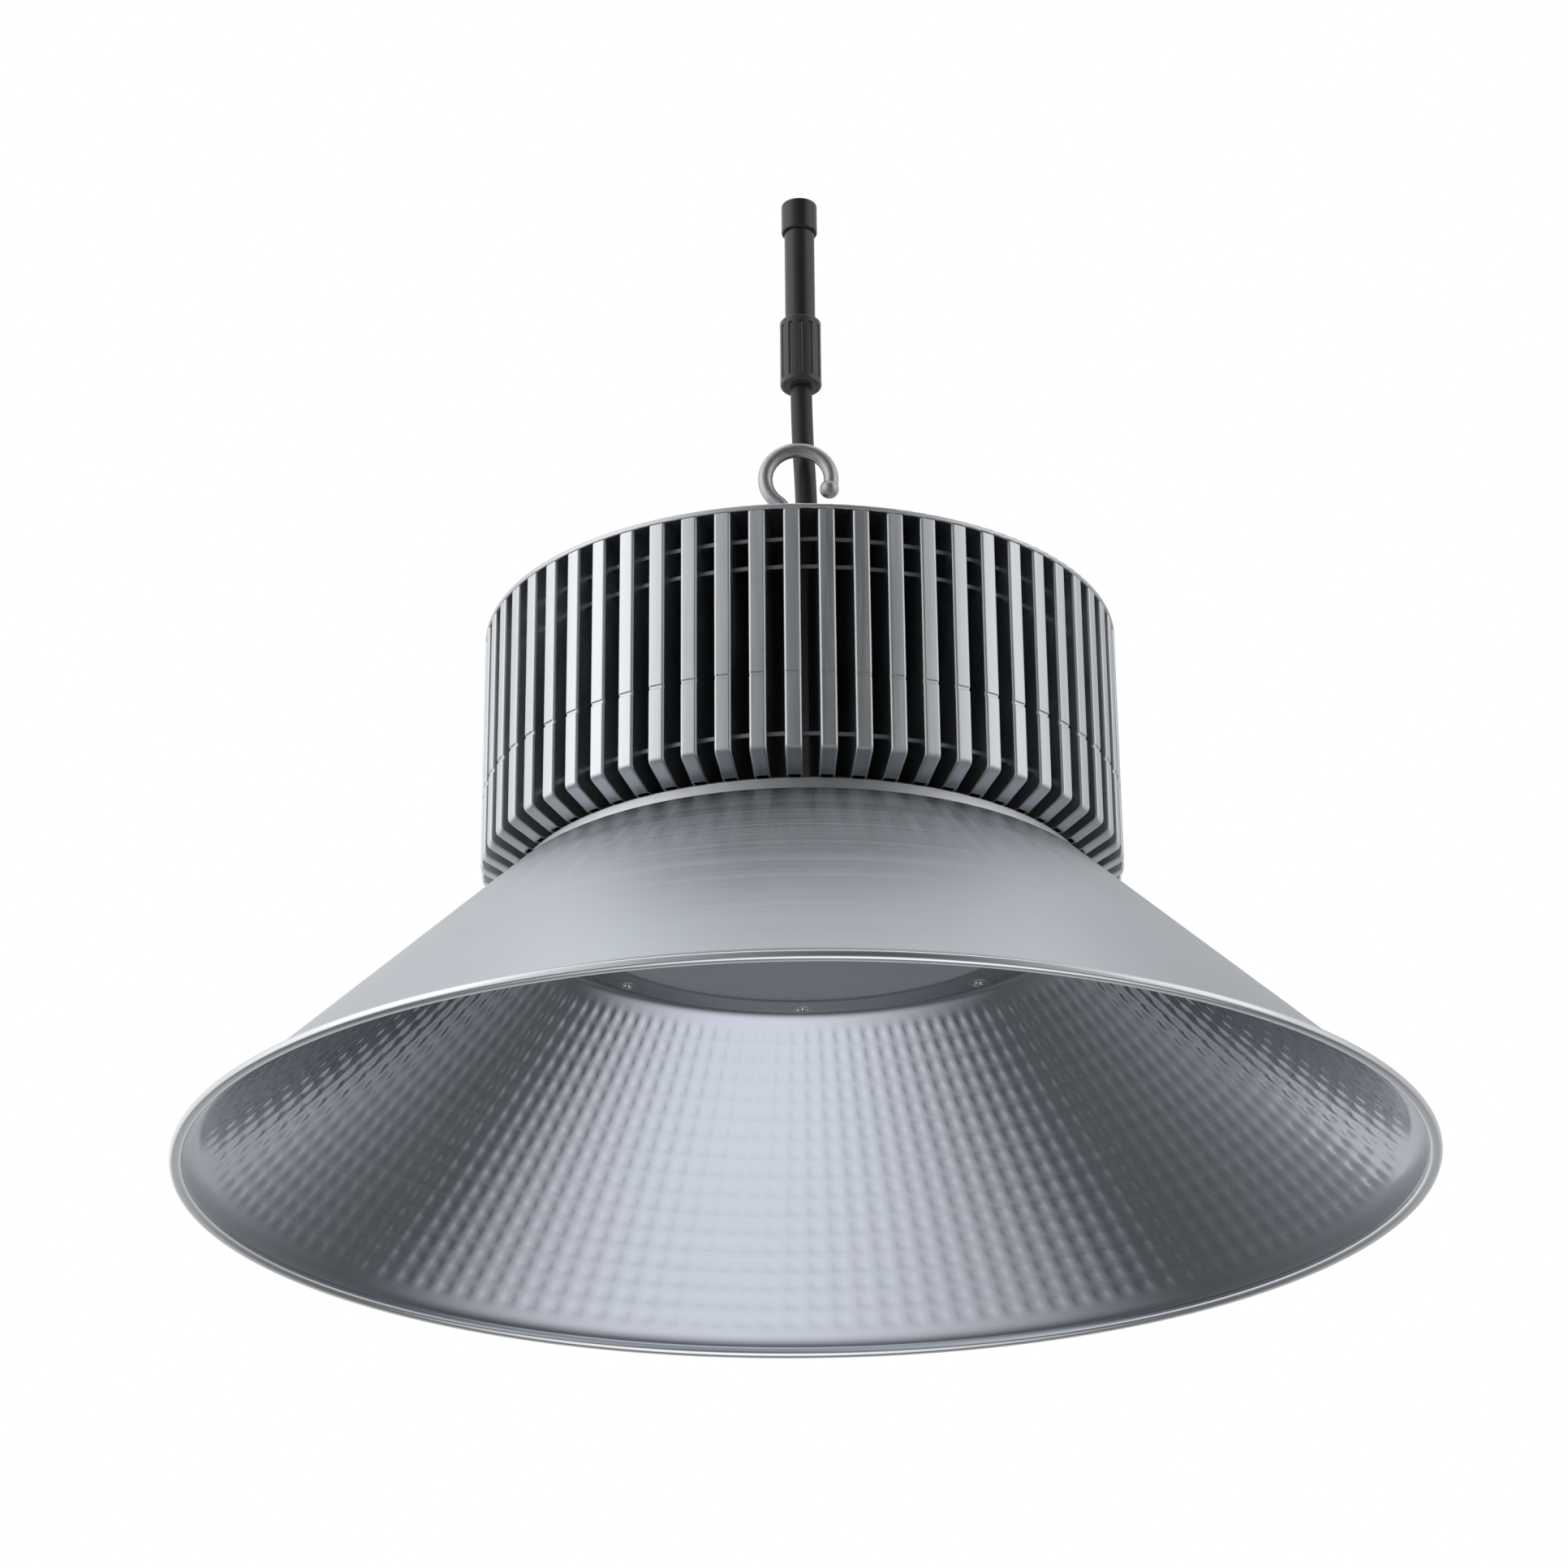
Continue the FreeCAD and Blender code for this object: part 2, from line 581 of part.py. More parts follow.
def cover_screws():
    screw = pan_screw(M4_PAN, COVER_SCREW_CIRCLE_R, COVER_Z + COVER_T, COVER_T + SEAL_T + TOP_PLATE_T)
    return around(screw, COVER_SCREWS, COVER_SCREW_ANGLE)


# ---- boss, hook and lead entry ---------------------------------------------------------------

def hanging_boss():
    """Turned boss on the cover, drilled for the hook's thread and for the lead's grommet."""
    boss = turned([
        (0, COVER_TOP_Z, 0),
        (BOSS_FLANGE_R, COVER_TOP_Z, 0),
        (BOSS_FLANGE_R, COVER_TOP_Z + BOSS_FLANGE_T, BOSS_FLANGE_T / 3.0),
        (BOSS_R, COVER_TOP_Z + BOSS_FLANGE_T, 0),
        (BOSS_R, BOSS_TOP_Z, BOSS_BEVEL),
        (0, BOSS_TOP_Z, 0),
    ])
    tools = holes(M4_PAN[0] + SCREW_CLEARANCE, BOSS_SCREW_CIRCLE_R, BOSS_SCREWS, BOSS_SCREW_ANGLE,
                  COVER_TOP_Z - OVERCUT, BOSS_FLANGE_T + 2 * OVERCUT)
    tools.append(Part.makeCylinder(HOOK_R, HOOK_THREAD_L + OVERCUT,
                                   vec(HOOK_SHANK_X, 0, BOSS_TOP_Z - HOOK_THREAD_L)))
    tools.append(Part.makeCylinder(CABLE_HOLE_R, BOSS_H + 2 * OVERCUT,
                                   vec(CABLE_X, CABLE_Y, COVER_TOP_Z - OVERCUT)))
    tools.append(Part.makeCylinder(GROMMET_BODY_R, GROMMET_DEPTH + OVERCUT,
                                   vec(CABLE_X, CABLE_Y, BOSS_TOP_Z - GROMMET_DEPTH)))
    return boss.cut(tools)


BOSS_SCREW_L = BOSS_FLANGE_T + COVER_T + M4_NUT_H + SCREW_END


def boss_screws():
    screw = pan_screw(M4_PAN, BOSS_SCREW_CIRCLE_R, COVER_TOP_Z + BOSS_FLANGE_T, BOSS_SCREW_L)
    return around(screw, BOSS_SCREWS, BOSS_SCREW_ANGLE)


def boss_nuts():
    nut = hexagon(M4_NUT_AF, M4_PAN[0], COVER_TOP_Z - COVER_T - M4_NUT_H, M4_NUT_H)
    nut.translate(vec(BOSS_SCREW_CIRCLE_R, 0, 0))
    return around(nut, BOSS_SCREWS, BOSS_SCREW_ANGLE)


def hanging_hook():
    """Bent bar: threaded shank, a reverse bend, then an open eye that ends in a rounded tip."""
    turn = math.acos((HOOK_NECK_BEND - HOOK_SHANK_X) / (HOOK_NECK_BEND + HOOK_RING_R))
    neck_z = EYE_Z - (HOOK_NECK_BEND + HOOK_RING_R) * math.sin(turn)

    def neck(angle):
        return vec(HOOK_SHANK_X - HOOK_NECK_BEND * (1 - math.cos(angle)), 0,
                   neck_z + HOOK_NECK_BEND * math.sin(angle))

    def eye(angle):
        return vec(-HOOK_RING_R * math.sin(angle), 0, EYE_Z - HOOK_RING_R * math.cos(angle))

    start = math.pi / 2.0 - turn
    end = math.radians(HOOK_END_ANGLE)
    foot = vec(HOOK_SHANK_X, 0, BOSS_TOP_Z - HOOK_THREAD_L)
    path = Part.Wire([
        Part.makeLine(foot, neck(0)),
        Part.Arc(neck(0), neck(turn / 2.0), neck(turn)).toShape(),
        Part.Arc(eye(start), eye((start + end) / 2.0), eye(end)).toShape(),
    ])
    section = Part.Wire([Part.makeCircle(HOOK_R, foot, vec(0, 0, 1))])
    bar = path.makePipeShell([section], True, False)
    return bar.fuse(Part.makeSphere(HOOK_TIP_R, eye(end)))


def hook_lock_nut():
    nut = hexagon(NUT_AF, HOOK_R, BOSS_TOP_Z, NUT_H)
    nut.translate(vec(HOOK_SHANK_X, 0, 0))
    return nut


def cable_grommet():
    """Rubber bush that grips the lead in the boss."""
    body = disc(GROMMET_BODY_R, BOSS_TOP_Z - GROMMET_DEPTH, GROMMET_DEPTH)
    flange = disc(GROMMET_FLANGE_R, BOSS_TOP_Z, GROMMET_FLANGE_T)
    flange = flange.makeFillet(GROMMET_FLANGE_T * 0.4, [edge for edge in flange.Edges if edge.Closed][:1])
    bush = body.fuse(flange).cut(disc(CABLE_R, COVER_TOP_Z, BOSS_H + GROMMET_FLANGE_T + OVERCUT))
    bush.translate(vec(CABLE_X, CABLE_Y, 0))
    return bush


# ---- mains lead and connector ----------------------------------------------------------------

def power_cable():
    """Round flex from the driver's outlet, over to the boss, up past the hook and into the connector."""
    lean_z = DRIVER_TOP_Z + OUTLET_H
    route = [
        vec(DRIVER_OUTLET_X, DRIVER_OUTLET_Y, DRIVER_TOP_Z),
        vec(DRIVER_OUTLET_X, DRIVER_OUTLET_Y, lean_z),
        vec(CABLE_X, CABLE_Y, lean_z + OUTLET_LEAN_H),
        vec(CABLE_X, CABLE_Y, CABLE_BEND_Z),
        vec(CABLE_END_X, CABLE_Y, CABLE_LEAN_Z),
        vec(CABLE_END_X, CABLE_Y, CABLE_END_Z),
    ]
    corners = []
    for i, point in enumerate(route):
        radius = 0.0
        if 0 < i < len(route) - 1:
            back = route[i - 1] - point
            ahead = route[i + 1] - point
            half_turn = (math.pi - back.getAngle(ahead)) / 2.0
            radius = 0.45 * min(back.Length, ahead.Length) / math.tan(half_turn)
            print("power_cable bend", i, "radius", round(radius, 1))
        corners.append((point.x, point.y, point.z, radius))
    path = rounded_wire(corners, closed=False)
    section = Part.Wire([Part.makeCircle(CABLE_R, route[0], vec(0, 0, 1))])
    cable = path.makePipeShell([section], True, False)
    print("power_cable length", round(path.Length, 1), "volume over section",
          round(cable.Volume / (math.pi * CABLE_R ** 2), 1))
    return cable


def on_connector_axis(solid):
    solid.translate(vec(CABLE_END_X, CABLE_Y, 0))
    return solid


def connector_nut():
    """Fluted clamping nut round the lead, bored wider for the seal and the body."""
    seal_z = CONNECTOR_Z + CONNECTOR_SEAL_Z
    top_z = CONNECTOR_Z + CLAMP_NUT_H
    nut = turned([
        (CABLE_R, CONNECTOR_Z, 0),
        (CLAMP_NUT_R, CONNECTOR_Z, CLAMP_NUT_ROUND),
        (CLAMP_NUT_R, top_z, CLAMP_NUT_ROUND / 2.0),
        (CONNECTOR_R, top_z, 0),
        (CONNECTOR_R, seal_z, 0),
        (CABLE_R, seal_z, 0),
    ])
    flute_x = CLAMP_NUT_R + CLAMP_NUT_FLUTE_R - CLAMP_NUT_FLUTE_DEPTH
    flute = Part.makeCylinder(CLAMP_NUT_FLUTE_R, CLAMP_NUT_H - 2 * CLAMP_NUT_BAND,
                              vec(flute_x, 0, CONNECTOR_Z + CLAMP_NUT_BAND))
    return on_connector_axis(nut.cut(around(flute, CLAMP_NUT_FLUTES)))


def connector_seal():
    return on_connector_axis(ring(CONNECTOR_R, CABLE_R, CONNECTOR_Z + CONNECTOR_SEAL_Z, CONNECTOR_SEAL_H))


def connector_body():
    """Barrel with a wider collar round the open socket."""
    top_z = CONNECTOR_Z + CONNECTOR_H
    collar_z = top_z - CONNECTOR_COLLAR_H
    body = turned([
        (0, CABLE_END_Z, 0),
        (CONNECTOR_R, CABLE_END_Z, 0),
        (CONNECTOR_R, collar_z, 0),
        (CONNECTOR_COLLAR_R, collar_z, COLLAR_ROUND),
        (CONNECTOR_COLLAR_R, top_z, COLLAR_ROUND),
        (SOCKET_R, top_z, 0),
        (SOCKET_R, top_z - SOCKET_DEPTH, 0),
        (0, top_z - SOCKET_DEPTH, 0),
    ])
    return on_connector_axis(body)


def contact_holes(z, height):
    return holes(CONTACT_R, CONTACT_CIRCLE_R, CONTACT_COUNT, 90, z, height)


def connector_insert():
    z = CONNECTOR_Z + CONNECTOR_H - SOCKET_DEPTH
    insert = disc(SOCKET_R, z, INSERT_H)
    return on_connector_axis(insert.cut(contact_holes(z - OVERCUT, INSERT_H + 2 * OVERCUT)))


def connector_contacts():
    z = CONNECTOR_Z + CONNECTOR_H - SOCKET_DEPTH
    return [on_connector_axis(pin) for pin in contact_holes(z, CONTACT_H)]


NODES = [
    reflector_shell, lens, lens_frame, lens_gasket, lens_frame_screws,
    base_plate, thermal_pad, led_board, led_chips, led_board_screws, led_leads,
    cooling_fins, core_tube, core_screws, top_plate, top_plate_screws,
    driver_standoffs, driver_module, cover_seal, driver_cover, cover_screws,
    hanging_boss, boss_screws, boss_nuts, hanging_hook, hook_lock_nut, cable_grommet,
    power_cable, connector_nut, connector_seal, connector_body, connector_insert, connector_contacts,
]

os.makedirs("parts", exist_ok=True)
for node in NODES:
    export(node.__name__, node())
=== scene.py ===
# %% [markdown]
# # A high bay light, dressed in Blender
#
# The lamp is a finned LED engine on a spun aluminium bell. The solids come ready-made as a frame, in
# metres, with +Z up the lamp's axis and the origin in the middle of the rim plane. This lesson keeps
# the solids whose shape is already right, remakes the pieces that need a finer surface, and gives
# every piece a finish built from nodes.

# %% Load the frame
import bpy
import bmesh
import math
import numpy as np
from mathutils import Euler, Matrix, Vector


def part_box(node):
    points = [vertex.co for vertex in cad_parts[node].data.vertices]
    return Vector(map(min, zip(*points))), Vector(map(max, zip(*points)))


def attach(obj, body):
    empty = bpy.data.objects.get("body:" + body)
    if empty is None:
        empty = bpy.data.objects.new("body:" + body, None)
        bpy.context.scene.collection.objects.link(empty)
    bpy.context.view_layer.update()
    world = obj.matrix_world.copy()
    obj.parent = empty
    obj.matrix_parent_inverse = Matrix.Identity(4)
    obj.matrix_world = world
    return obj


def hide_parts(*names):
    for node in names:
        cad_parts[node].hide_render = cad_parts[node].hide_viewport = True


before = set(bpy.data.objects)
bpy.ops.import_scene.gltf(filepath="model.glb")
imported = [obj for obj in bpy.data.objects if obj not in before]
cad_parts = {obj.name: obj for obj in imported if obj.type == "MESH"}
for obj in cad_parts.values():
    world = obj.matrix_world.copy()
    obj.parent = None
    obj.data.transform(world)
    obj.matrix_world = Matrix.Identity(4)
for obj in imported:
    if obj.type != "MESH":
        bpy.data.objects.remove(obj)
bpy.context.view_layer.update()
MM = 0.001
print("nodes in the frame:", len(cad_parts))

# %% [markdown]
# ## Sizes
#
# Heights and the rim's radius are read from the solids' own boxes, so the new surfaces land on them.
# What a box can't tell, such as a bend's radius, is written beside the piece that needs it. These
# sizes are in millimetres, and the stage's are in metres.

# %% Sizes read from the solids
def height_span(node):
    """Lowest and highest point of a solid, in millimetres."""
    low_corner, high_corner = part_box(node)
    return low_corner[2] / MM, high_corner[2] / MM


RIM_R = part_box("reflector_shell")[1][0] / MM
COLLAR_Z = height_span("reflector_shell")[1]
FIN_Z, FIN_TOP_Z = height_span("cooling_fins")
print("rim radius %.1f mm, collar at %.1f mm" % (RIM_R, COLLAR_Z))
print("fins from %.1f to %.1f mm" % (FIN_Z, FIN_TOP_Z))

# %% [markdown]
# ## From numpy arrays to a mesh
#
# Every new piece except the lead is a set of shells. A shell is a grid of points, one row after another,
# and its faces are the quads between neighbours. The grid is closed round its columns, which makes a
# turned form, and closing its rows too makes a sheet that is folded back on itself, with no open edge.
#
# Smooth shading blends the normals at a fold, and then a large flat face beside it looks pillowed. A
# Weighted Normal modifier gives the large face its own normal back, so the light turns on the small
# faces of the fold, as it does on bent sheet.


# %% Shells and pieces
MERGE = 0.5e-6          # metres: points nearer than this are one point


def grid_quads(rows, columns, close_rows=False):
    """Corner numbers of the quads between a grid's neighbours. The last column's neighbour is the first,
    and so is the last row's, where the rows are closed. Point (i, j) has the number i times columns + j."""
    i, j = np.meshgrid(np.arange(rows if close_rows else rows - 1), np.arange(columns), indexing="ij")
    below, beside = (i + 1) % rows, (j + 1) % columns
    return np.stack([i * columns + j, i * columns + beside,
                     below * columns + beside, below * columns + j], -1).reshape(-1, 4)


def piece(name, shells, materials, sharp, flats=False):
    """One object from a list of (points, quads, material number), with its doubles merged, its faces
    outwards, and an edge kept sharp where its two faces turn by more than so many degrees. With flats,
    a large face keeps its own normal, and the small faces of a fold beside it take up the turn."""
    points, quads, numbers, start = [], [], [], 0
    for shell_points, shell_quads, number in shells:
        shell_points = shell_points.reshape(-1, 3)
        points.append(shell_points * MM)
        quads.append(shell_quads + start)
        numbers.append(np.full(len(shell_quads), number))
        start += len(shell_points)
    mesh = bpy.data.meshes.new(name)
    mesh.from_pydata(np.concatenate(points).tolist(), [], np.concatenate(quads).tolist())
    mesh.polygons.foreach_set("material_index", np.concatenate(numbers).astype(np.int32))
    work = bmesh.new()
    work.from_mesh(mesh)
    bmesh.ops.remove_doubles(work, verts=work.verts, dist=MERGE)
    bmesh.ops.recalc_face_normals(work, faces=work.faces)
    work.to_mesh(mesh)
    work.free()
    mesh.polygons.foreach_set("use_smooth", np.ones(len(mesh.polygons), bool))
    mesh.set_sharp_from_angle(angle=math.radians(sharp))
    for material in materials:
        mesh.materials.append(material)
    made = bpy.data.objects.new(name, mesh)
    bpy.context.collection.objects.link(made)
    if flats:
        made.modifiers.new("flat_faces", "WEIGHTED_NORMAL").keep_sharp = True
    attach(made, "root")
    print(name, "has", sum(len(p.vertices) - 2 for p in mesh.polygons), "triangles")
    return made


# %% Profiles and turned forms
def rounded(corners, steps):
    """Profile through (across, up, round) corners. Each round corner becomes an arc of so many steps that
    touches both of its runs: it starts round / tan(half the angle between the runs) from the corner. A
    point on it is its middle, plus sin(the turn still to come) times its first spoke, plus sin(the turn
    already made) times its last spoke, over sin(the whole turn)."""
    line = []
    for number, (x, z, radius) in enumerate(corners):
        here = np.array([x, z])
        if radius <= 0:
            line.append(here[None])
            continue
        back = np.array(corners[number - 1][:2]) - here
        ahead = np.array(corners[(number + 1) % len(corners)][:2]) - here
        back, ahead = back / np.linalg.norm(back), ahead / np.linalg.norm(ahead)
        half = math.acos(np.clip(back @ ahead, -1, 1)) / 2
        middle = here + (back + ahead) / np.linalg.norm(back + ahead) * radius / math.sin(half)
        first = here + back * radius / math.tan(half) - middle
        last = here + ahead * radius / math.tan(half) - middle
        share = np.linspace(0, 1, steps + 1)[:, None]
        turn = math.pi - 2 * half
        swing = np.sin((1 - share) * turn) * first + np.sin(share * turn) * last
        line.append(middle + swing / math.sin(turn))
    return np.concatenate(line)


def round_angles(columns):
    """Equal steps of angle once round the axis, in radians."""
    return np.linspace(0, 2 * math.pi, columns, endpoint=False)


def turned(profile, columns):
    """Surface of revolution: x = radius times cos, y = radius times sin, z = height."""
    angle = round_angles(columns)
    radius, height = profile[:, 0, None], profile[:, 1, None]
    return np.stack([radius * np.cos(angle), radius * np.sin(angle),
                     np.broadcast_to(height, (len(profile), columns))], -1)


# %% [markdown]
# ## Shader groups that several finishes share
#
# Metal sheet carries the marks of how it was shaped. Spinning leaves fine rings round the axis, drawing
# and folding leave fine lines along it. Both are noise read from stretched coordinates: radius and
# height for rings, angle for lines. A third group is soft patches, which keep a large surface from
# looking poured, and a fourth is fine grain for rubber, glass and coated sheet. Each is one node group,
# placed in every material that needs it with that material's own values.
#
# A picture of the marks would need a map for every piece, and would blur from close by. Noise needs
# only the point's own place, and stays sharp.


# %% Helpers for node trees
def link(tree, start, end):
    """Link from an output socket to an input socket."""
    tree.links.new(start, end)


def feed(tree, socket, value):
    """A plain number is set on an input socket, and another socket is linked to it."""
    if isinstance(value, (int, float)):
        socket.default_value = value
    else:
        link(tree, value, socket)


def maths(tree, operation, *values):
    """Math node on sockets or plain numbers."""
    node = tree.nodes.new("ShaderNodeMath")
    node.operation = operation
    for number, value in enumerate(values):
        feed(tree, node.inputs[number], value)
    return node.outputs[0]


def noise(tree, vector, scale, detail, roughness=0.5):
    """Noise between 0 and 1: so many layers, each twice as fine and roughness times as strong."""
    node = tree.nodes.new("ShaderNodeTexNoise")
    node.inputs["Detail"].default_value = detail
    node.inputs["Roughness"].default_value = roughness
    link(tree, vector, node.inputs["Vector"])
    feed(tree, node.inputs["Scale"], scale)
    return node.outputs[0]


def spread(tree, value, low, high, to_low=0.0, to_high=1.0):
    """Straight line from to_low, at and below low, to to_high, at and above high."""
    node = tree.nodes.new("ShaderNodeMapRange")
    for name, number in (("From Min", low), ("From Max", high), ("To Min", to_low), ("To Max", to_high)):
        node.inputs[name].default_value = number
    link(tree, value, node.inputs["Value"])
    return node.outputs[0]


# %% Helpers for places and groups
def joined(tree, *parts):
    """Vector of three sockets."""
    node = tree.nodes.new("ShaderNodeCombineXYZ")
    for number, value in enumerate(parts):
        feed(tree, node.inputs[number], value)
    return node.outputs[0]


def texture_place(tree, coordinates="Object"):
    """One of the texture coordinates as a vector. Object is the shaded point in the lamp's frame."""
    return tree.nodes.new("ShaderNodeTexCoord").outputs[coordinates]


def apart(tree, vector):
    """The x, y and z of a vector socket."""
    node = tree.nodes.new("ShaderNodeSeparateXYZ")
    link(tree, vector, node.inputs[0])
    return tuple(node.outputs)


def polar(tree):
    """Radius, height and angle of the shaded point: the root of x squared plus y squared, z, and the
    angle whose tangent is y / x."""
    x, y, z = apart(tree, texture_place(tree))
    squares = maths(tree, "ADD", maths(tree, "MULTIPLY", x, x), maths(tree, "MULTIPLY", y, y))
    return maths(tree, "SQRT", squares), z, maths(tree, "ARCTAN2", y, x)


def group(name, inputs, make):
    """Node group with float inputs (name, value) and the float outputs that make(tree, source) returns."""
    tree = bpy.data.node_groups.new(name, "ShaderNodeTree")
    for label, value in inputs:
        socket = tree.interface.new_socket(label, in_out="INPUT", socket_type="NodeSocketFloat")
        socket.default_value = value
    source = tree.nodes.new("NodeGroupInput")
    outputs = make(tree, source.outputs)
    sink = tree.nodes.new("NodeGroupOutput")
    for label in outputs:
        tree.interface.new_socket(label, in_out="OUTPUT", socket_type="NodeSocketFloat")
    for label, value in outputs.items():
        link(tree, value, sink.inputs[label])
    return tree


# %% The shared groups
RING_TURN = 0.0002      # how little a ring's noise changes round the axis
LINE_TURN = 0.12        # how fast a line's noise changes round the axis,
LINE_DROP = 0.03        # down it,
LINE_OUT = 0.07         # and away from it


def make_rings(tree, given):
    """Rings: noise of (radius, height) at a fine scale, barely changing with the angle."""
    radius, height, angle = polar(tree)
    stretched = joined(tree, radius, height, maths(tree, "MULTIPLY", angle, RING_TURN))
    return {"Marks": spread(tree, noise(tree, stretched, given["Scale"], 4.0, 0.6), 0.3, 0.7)}


def make_lines(tree, given):
    """Lines along the axis: noise of the angle at a fine scale, barely changing with the height."""
    radius, height, angle = polar(tree)
    stretched = joined(tree, maths(tree, "MULTIPLY", angle, LINE_TURN),
                       maths(tree, "MULTIPLY", height, LINE_DROP), maths(tree, "MULTIPLY", radius, LINE_OUT))
    return {"Marks": spread(tree, noise(tree, stretched, given["Scale"], 3.0, 0.6), 0.3, 0.7)}


def make_patches(tree, given):
    """Soft patches: a slow noise plus a quarter as much of one that is six times as fast."""
    place = texture_place(tree)
    slow = noise(tree, place, given["Scale"], 2.0)
    fast = noise(tree, place, maths(tree, "MULTIPLY", given["Scale"], 6.0), 3.0)
    both = maths(tree, "ADD", maths(tree, "MULTIPLY", slow, 0.8), maths(tree, "MULTIPLY", fast, 0.2))
    return {"Patches": spread(tree, both, 0.35, 0.65)}


def make_grain(tree, given):
    """Grain: fine noise, darkened to nothing at the centres of a pattern of cells, which look like pits."""
    place = texture_place(tree)
    fine = noise(tree, place, given["Scale"], 4.0, 0.65)
    cells = tree.nodes.new("ShaderNodeTexVoronoi")
    link(tree, place, cells.inputs["Vector"])
    link(tree, maths(tree, "MULTIPLY", given["Scale"], 0.6), cells.inputs["Scale"])
    pits = spread(tree, cells.outputs["Distance"], 0.0, 0.35)
    return {"Grain": maths(tree, "MULTIPLY", fine, pits)}


RINGS = group("turned_rings", [("Scale", 900.0)], make_rings)
LINES = group("drawn_lines", [("Scale", 900.0)], make_lines)
PATCHES = group("soft_patches", [("Scale", 8.0)], make_patches)
GRAIN = group("fine_grain", [("Scale", 1500.0)], make_grain)
print("shader groups:", [tree.name for tree in bpy.data.node_groups])


# %% Building blocks for a finish
class Finish:
    """One material with a Principled BSDF: what is the same all over is set on its sockets, and what
    changes over the surface is linked by the methods."""

    def __init__(self, name, colour, roughness, metallic=0.0):
        self.material = bpy.data.materials.new(name)
        self.material.use_nodes = True
        self.tree = self.material.node_tree
        self.shader = self.tree.nodes["Principled BSDF"]
        self.colour, self.roughness = colour, roughness
        self.shader.inputs["Base Color"].default_value = (*colour, 1)
        self.shader.inputs["Roughness"].default_value = roughness
        self.shader.inputs["Metallic"].default_value = metallic

    def place(self, tree, output, scale):
        """The named output of a shared group, at a scale."""
        node = self.tree.nodes.new("ShaderNodeGroup")
        node.node_tree = tree
        node.inputs["Scale"].default_value = scale
        return node.outputs[output]

    def tint(self, value, dark, light):
        """Base colour between dark and light shares of the finish's own colour, by a value. Where a
        colour is already there, it is multiplied instead."""
        mix = self.tree.nodes.new("ShaderNodeMix")
        mix.data_type = "RGBA"
        link(self.tree, value, mix.inputs["Factor"])
        base = self.shader.inputs["Base Color"]
        start = self.colour if not base.is_linked else (1, 1, 1)
        mix.inputs["A"].default_value = (*[c * dark for c in start], 1)
        mix.inputs["B"].default_value = (*[c * light for c in start], 1)
        result = mix.outputs["Result"]
        if base.is_linked:
            times = self.tree.nodes.new("ShaderNodeMix")
            times.data_type, times.blend_type = "RGBA", "MULTIPLY"
            times.inputs["Factor"].default_value = 1.0
            link(self.tree, base.links[0].from_socket, times.inputs["A"])
            link(self.tree, result, times.inputs["B"])
            result = times.outputs["Result"]
        link(self.tree, result, base)

    def gloss(self, value, low, high):
        """Roughness between two values, added to what is there."""
        socket = self.shader.inputs["Roughness"]
        part = spread(self.tree, value, 0.0, 1.0, low - self.roughness, high - self.roughness)
        start = socket.links[0].from_socket if socket.is_linked else self.roughness
        link(self.tree, maths(self.tree, "ADD", part, start), socket)

    def relief(self, value, distance, strength):
        """Bump of a real height in metres; bumps are chained."""
        bump = self.tree.nodes.new("ShaderNodeBump")
        bump.inputs["Distance"].default_value = distance
        bump.inputs["Strength"].default_value = strength
        link(self.tree, value, bump.inputs["Height"])
        normal = self.shader.inputs["Normal"]
        if normal.is_linked:
            link(self.tree, normal.links[0].from_socket, bump.inputs["Normal"])
        link(self.tree, bump.outputs["Normal"], normal)


# %% Two kinds of finish
def sheet_metal(name, colour, roughness, marks, scale, depth=0.00002, tone=0.06):
    """Bare metal with the marks of its making: they change its tone, its gloss and its relief, whose
    depth is in metres."""
    made = Finish(name, colour, roughness, metallic=1.0)
    streaks = made.place(marks, "Marks", scale)
    patches = made.place(PATCHES, "Patches", 9.0)
    made.tint(streaks, 1 - tone, 1 + tone)
    made.tint(patches, 0.95, 1.03)
    made.gloss(streaks, roughness - 0.05, roughness + 0.05)
    made.gloss(patches, roughness - 0.03, roughness + 0.04)
    made.relief(streaks, depth, 0.6)
    return made


def moulded(name, colour, roughness, scale=1800.0, depth=0.00003, tone=0.12):
    """Moulded, coated or ground surface: grain and patches, no direction."""
    made = Finish(name, colour, roughness)
    grain = made.place(GRAIN, "Grain", scale)
    patches = made.place(PATCHES, "Patches", 25.0)
    made.tint(patches, 1 - tone, 1 + tone)
    made.tint(grain, 0.95, 1.05)
    made.gloss(patches, roughness - 0.04, roughness + 0.05)
    made.relief(grain, depth, 0.5)
    return made


# %% [markdown]
# ## The finishes
#
# The bell is spun from sheet and satin etched outside; inside, the same sheet is bright, so it throws
# the light down. Its shoulder also carries faint streaks along the axis, which fade out down the cone.
# The fins are folded from rolled sheet, the core and the plates are turned. The lens is ground glass.
# The lead and its connector are rubber and nylon.
#
# Each could be a tree of its own. But they differ only in colour, gloss and marks, so two functions
# build them all, and what a finish is can be read on its one line.

# %% Reflector finishes
STREAKS_FROM, STREAKS_FULL = 0.062, 0.105      # heights in metres between which the streaks come in
bell_outside = sheet_metal("spun_satin", (0.49, 0.525, 0.57), 0.40, RINGS, 700.0, tone=0.05)
streaks = bell_outside.place(LINES, "Marks", 300.0)
height = apart(bell_outside.tree, texture_place(bell_outside.tree))[2]
on_shoulder = spread(bell_outside.tree, height, STREAKS_FROM, STREAKS_FULL)
bell_outside.tint(maths(bell_outside.tree, "MULTIPLY", streaks, on_shoulder), 1.0, 0.70)
bell_inside = sheet_metal("spun_bright", (0.40, 0.425, 0.48), 0.15, RINGS, 500.0, depth=0.000002, tone=0.03)
# the bead is glossier than the bell, and its lighter colour is a painted highlight along the rolled edge
painted_bead_highlight = sheet_metal("rim_painted_highlight", (0.66, 0.68, 0.71), 0.20, RINGS, 700.0, depth=0.000002, tone=0.03)
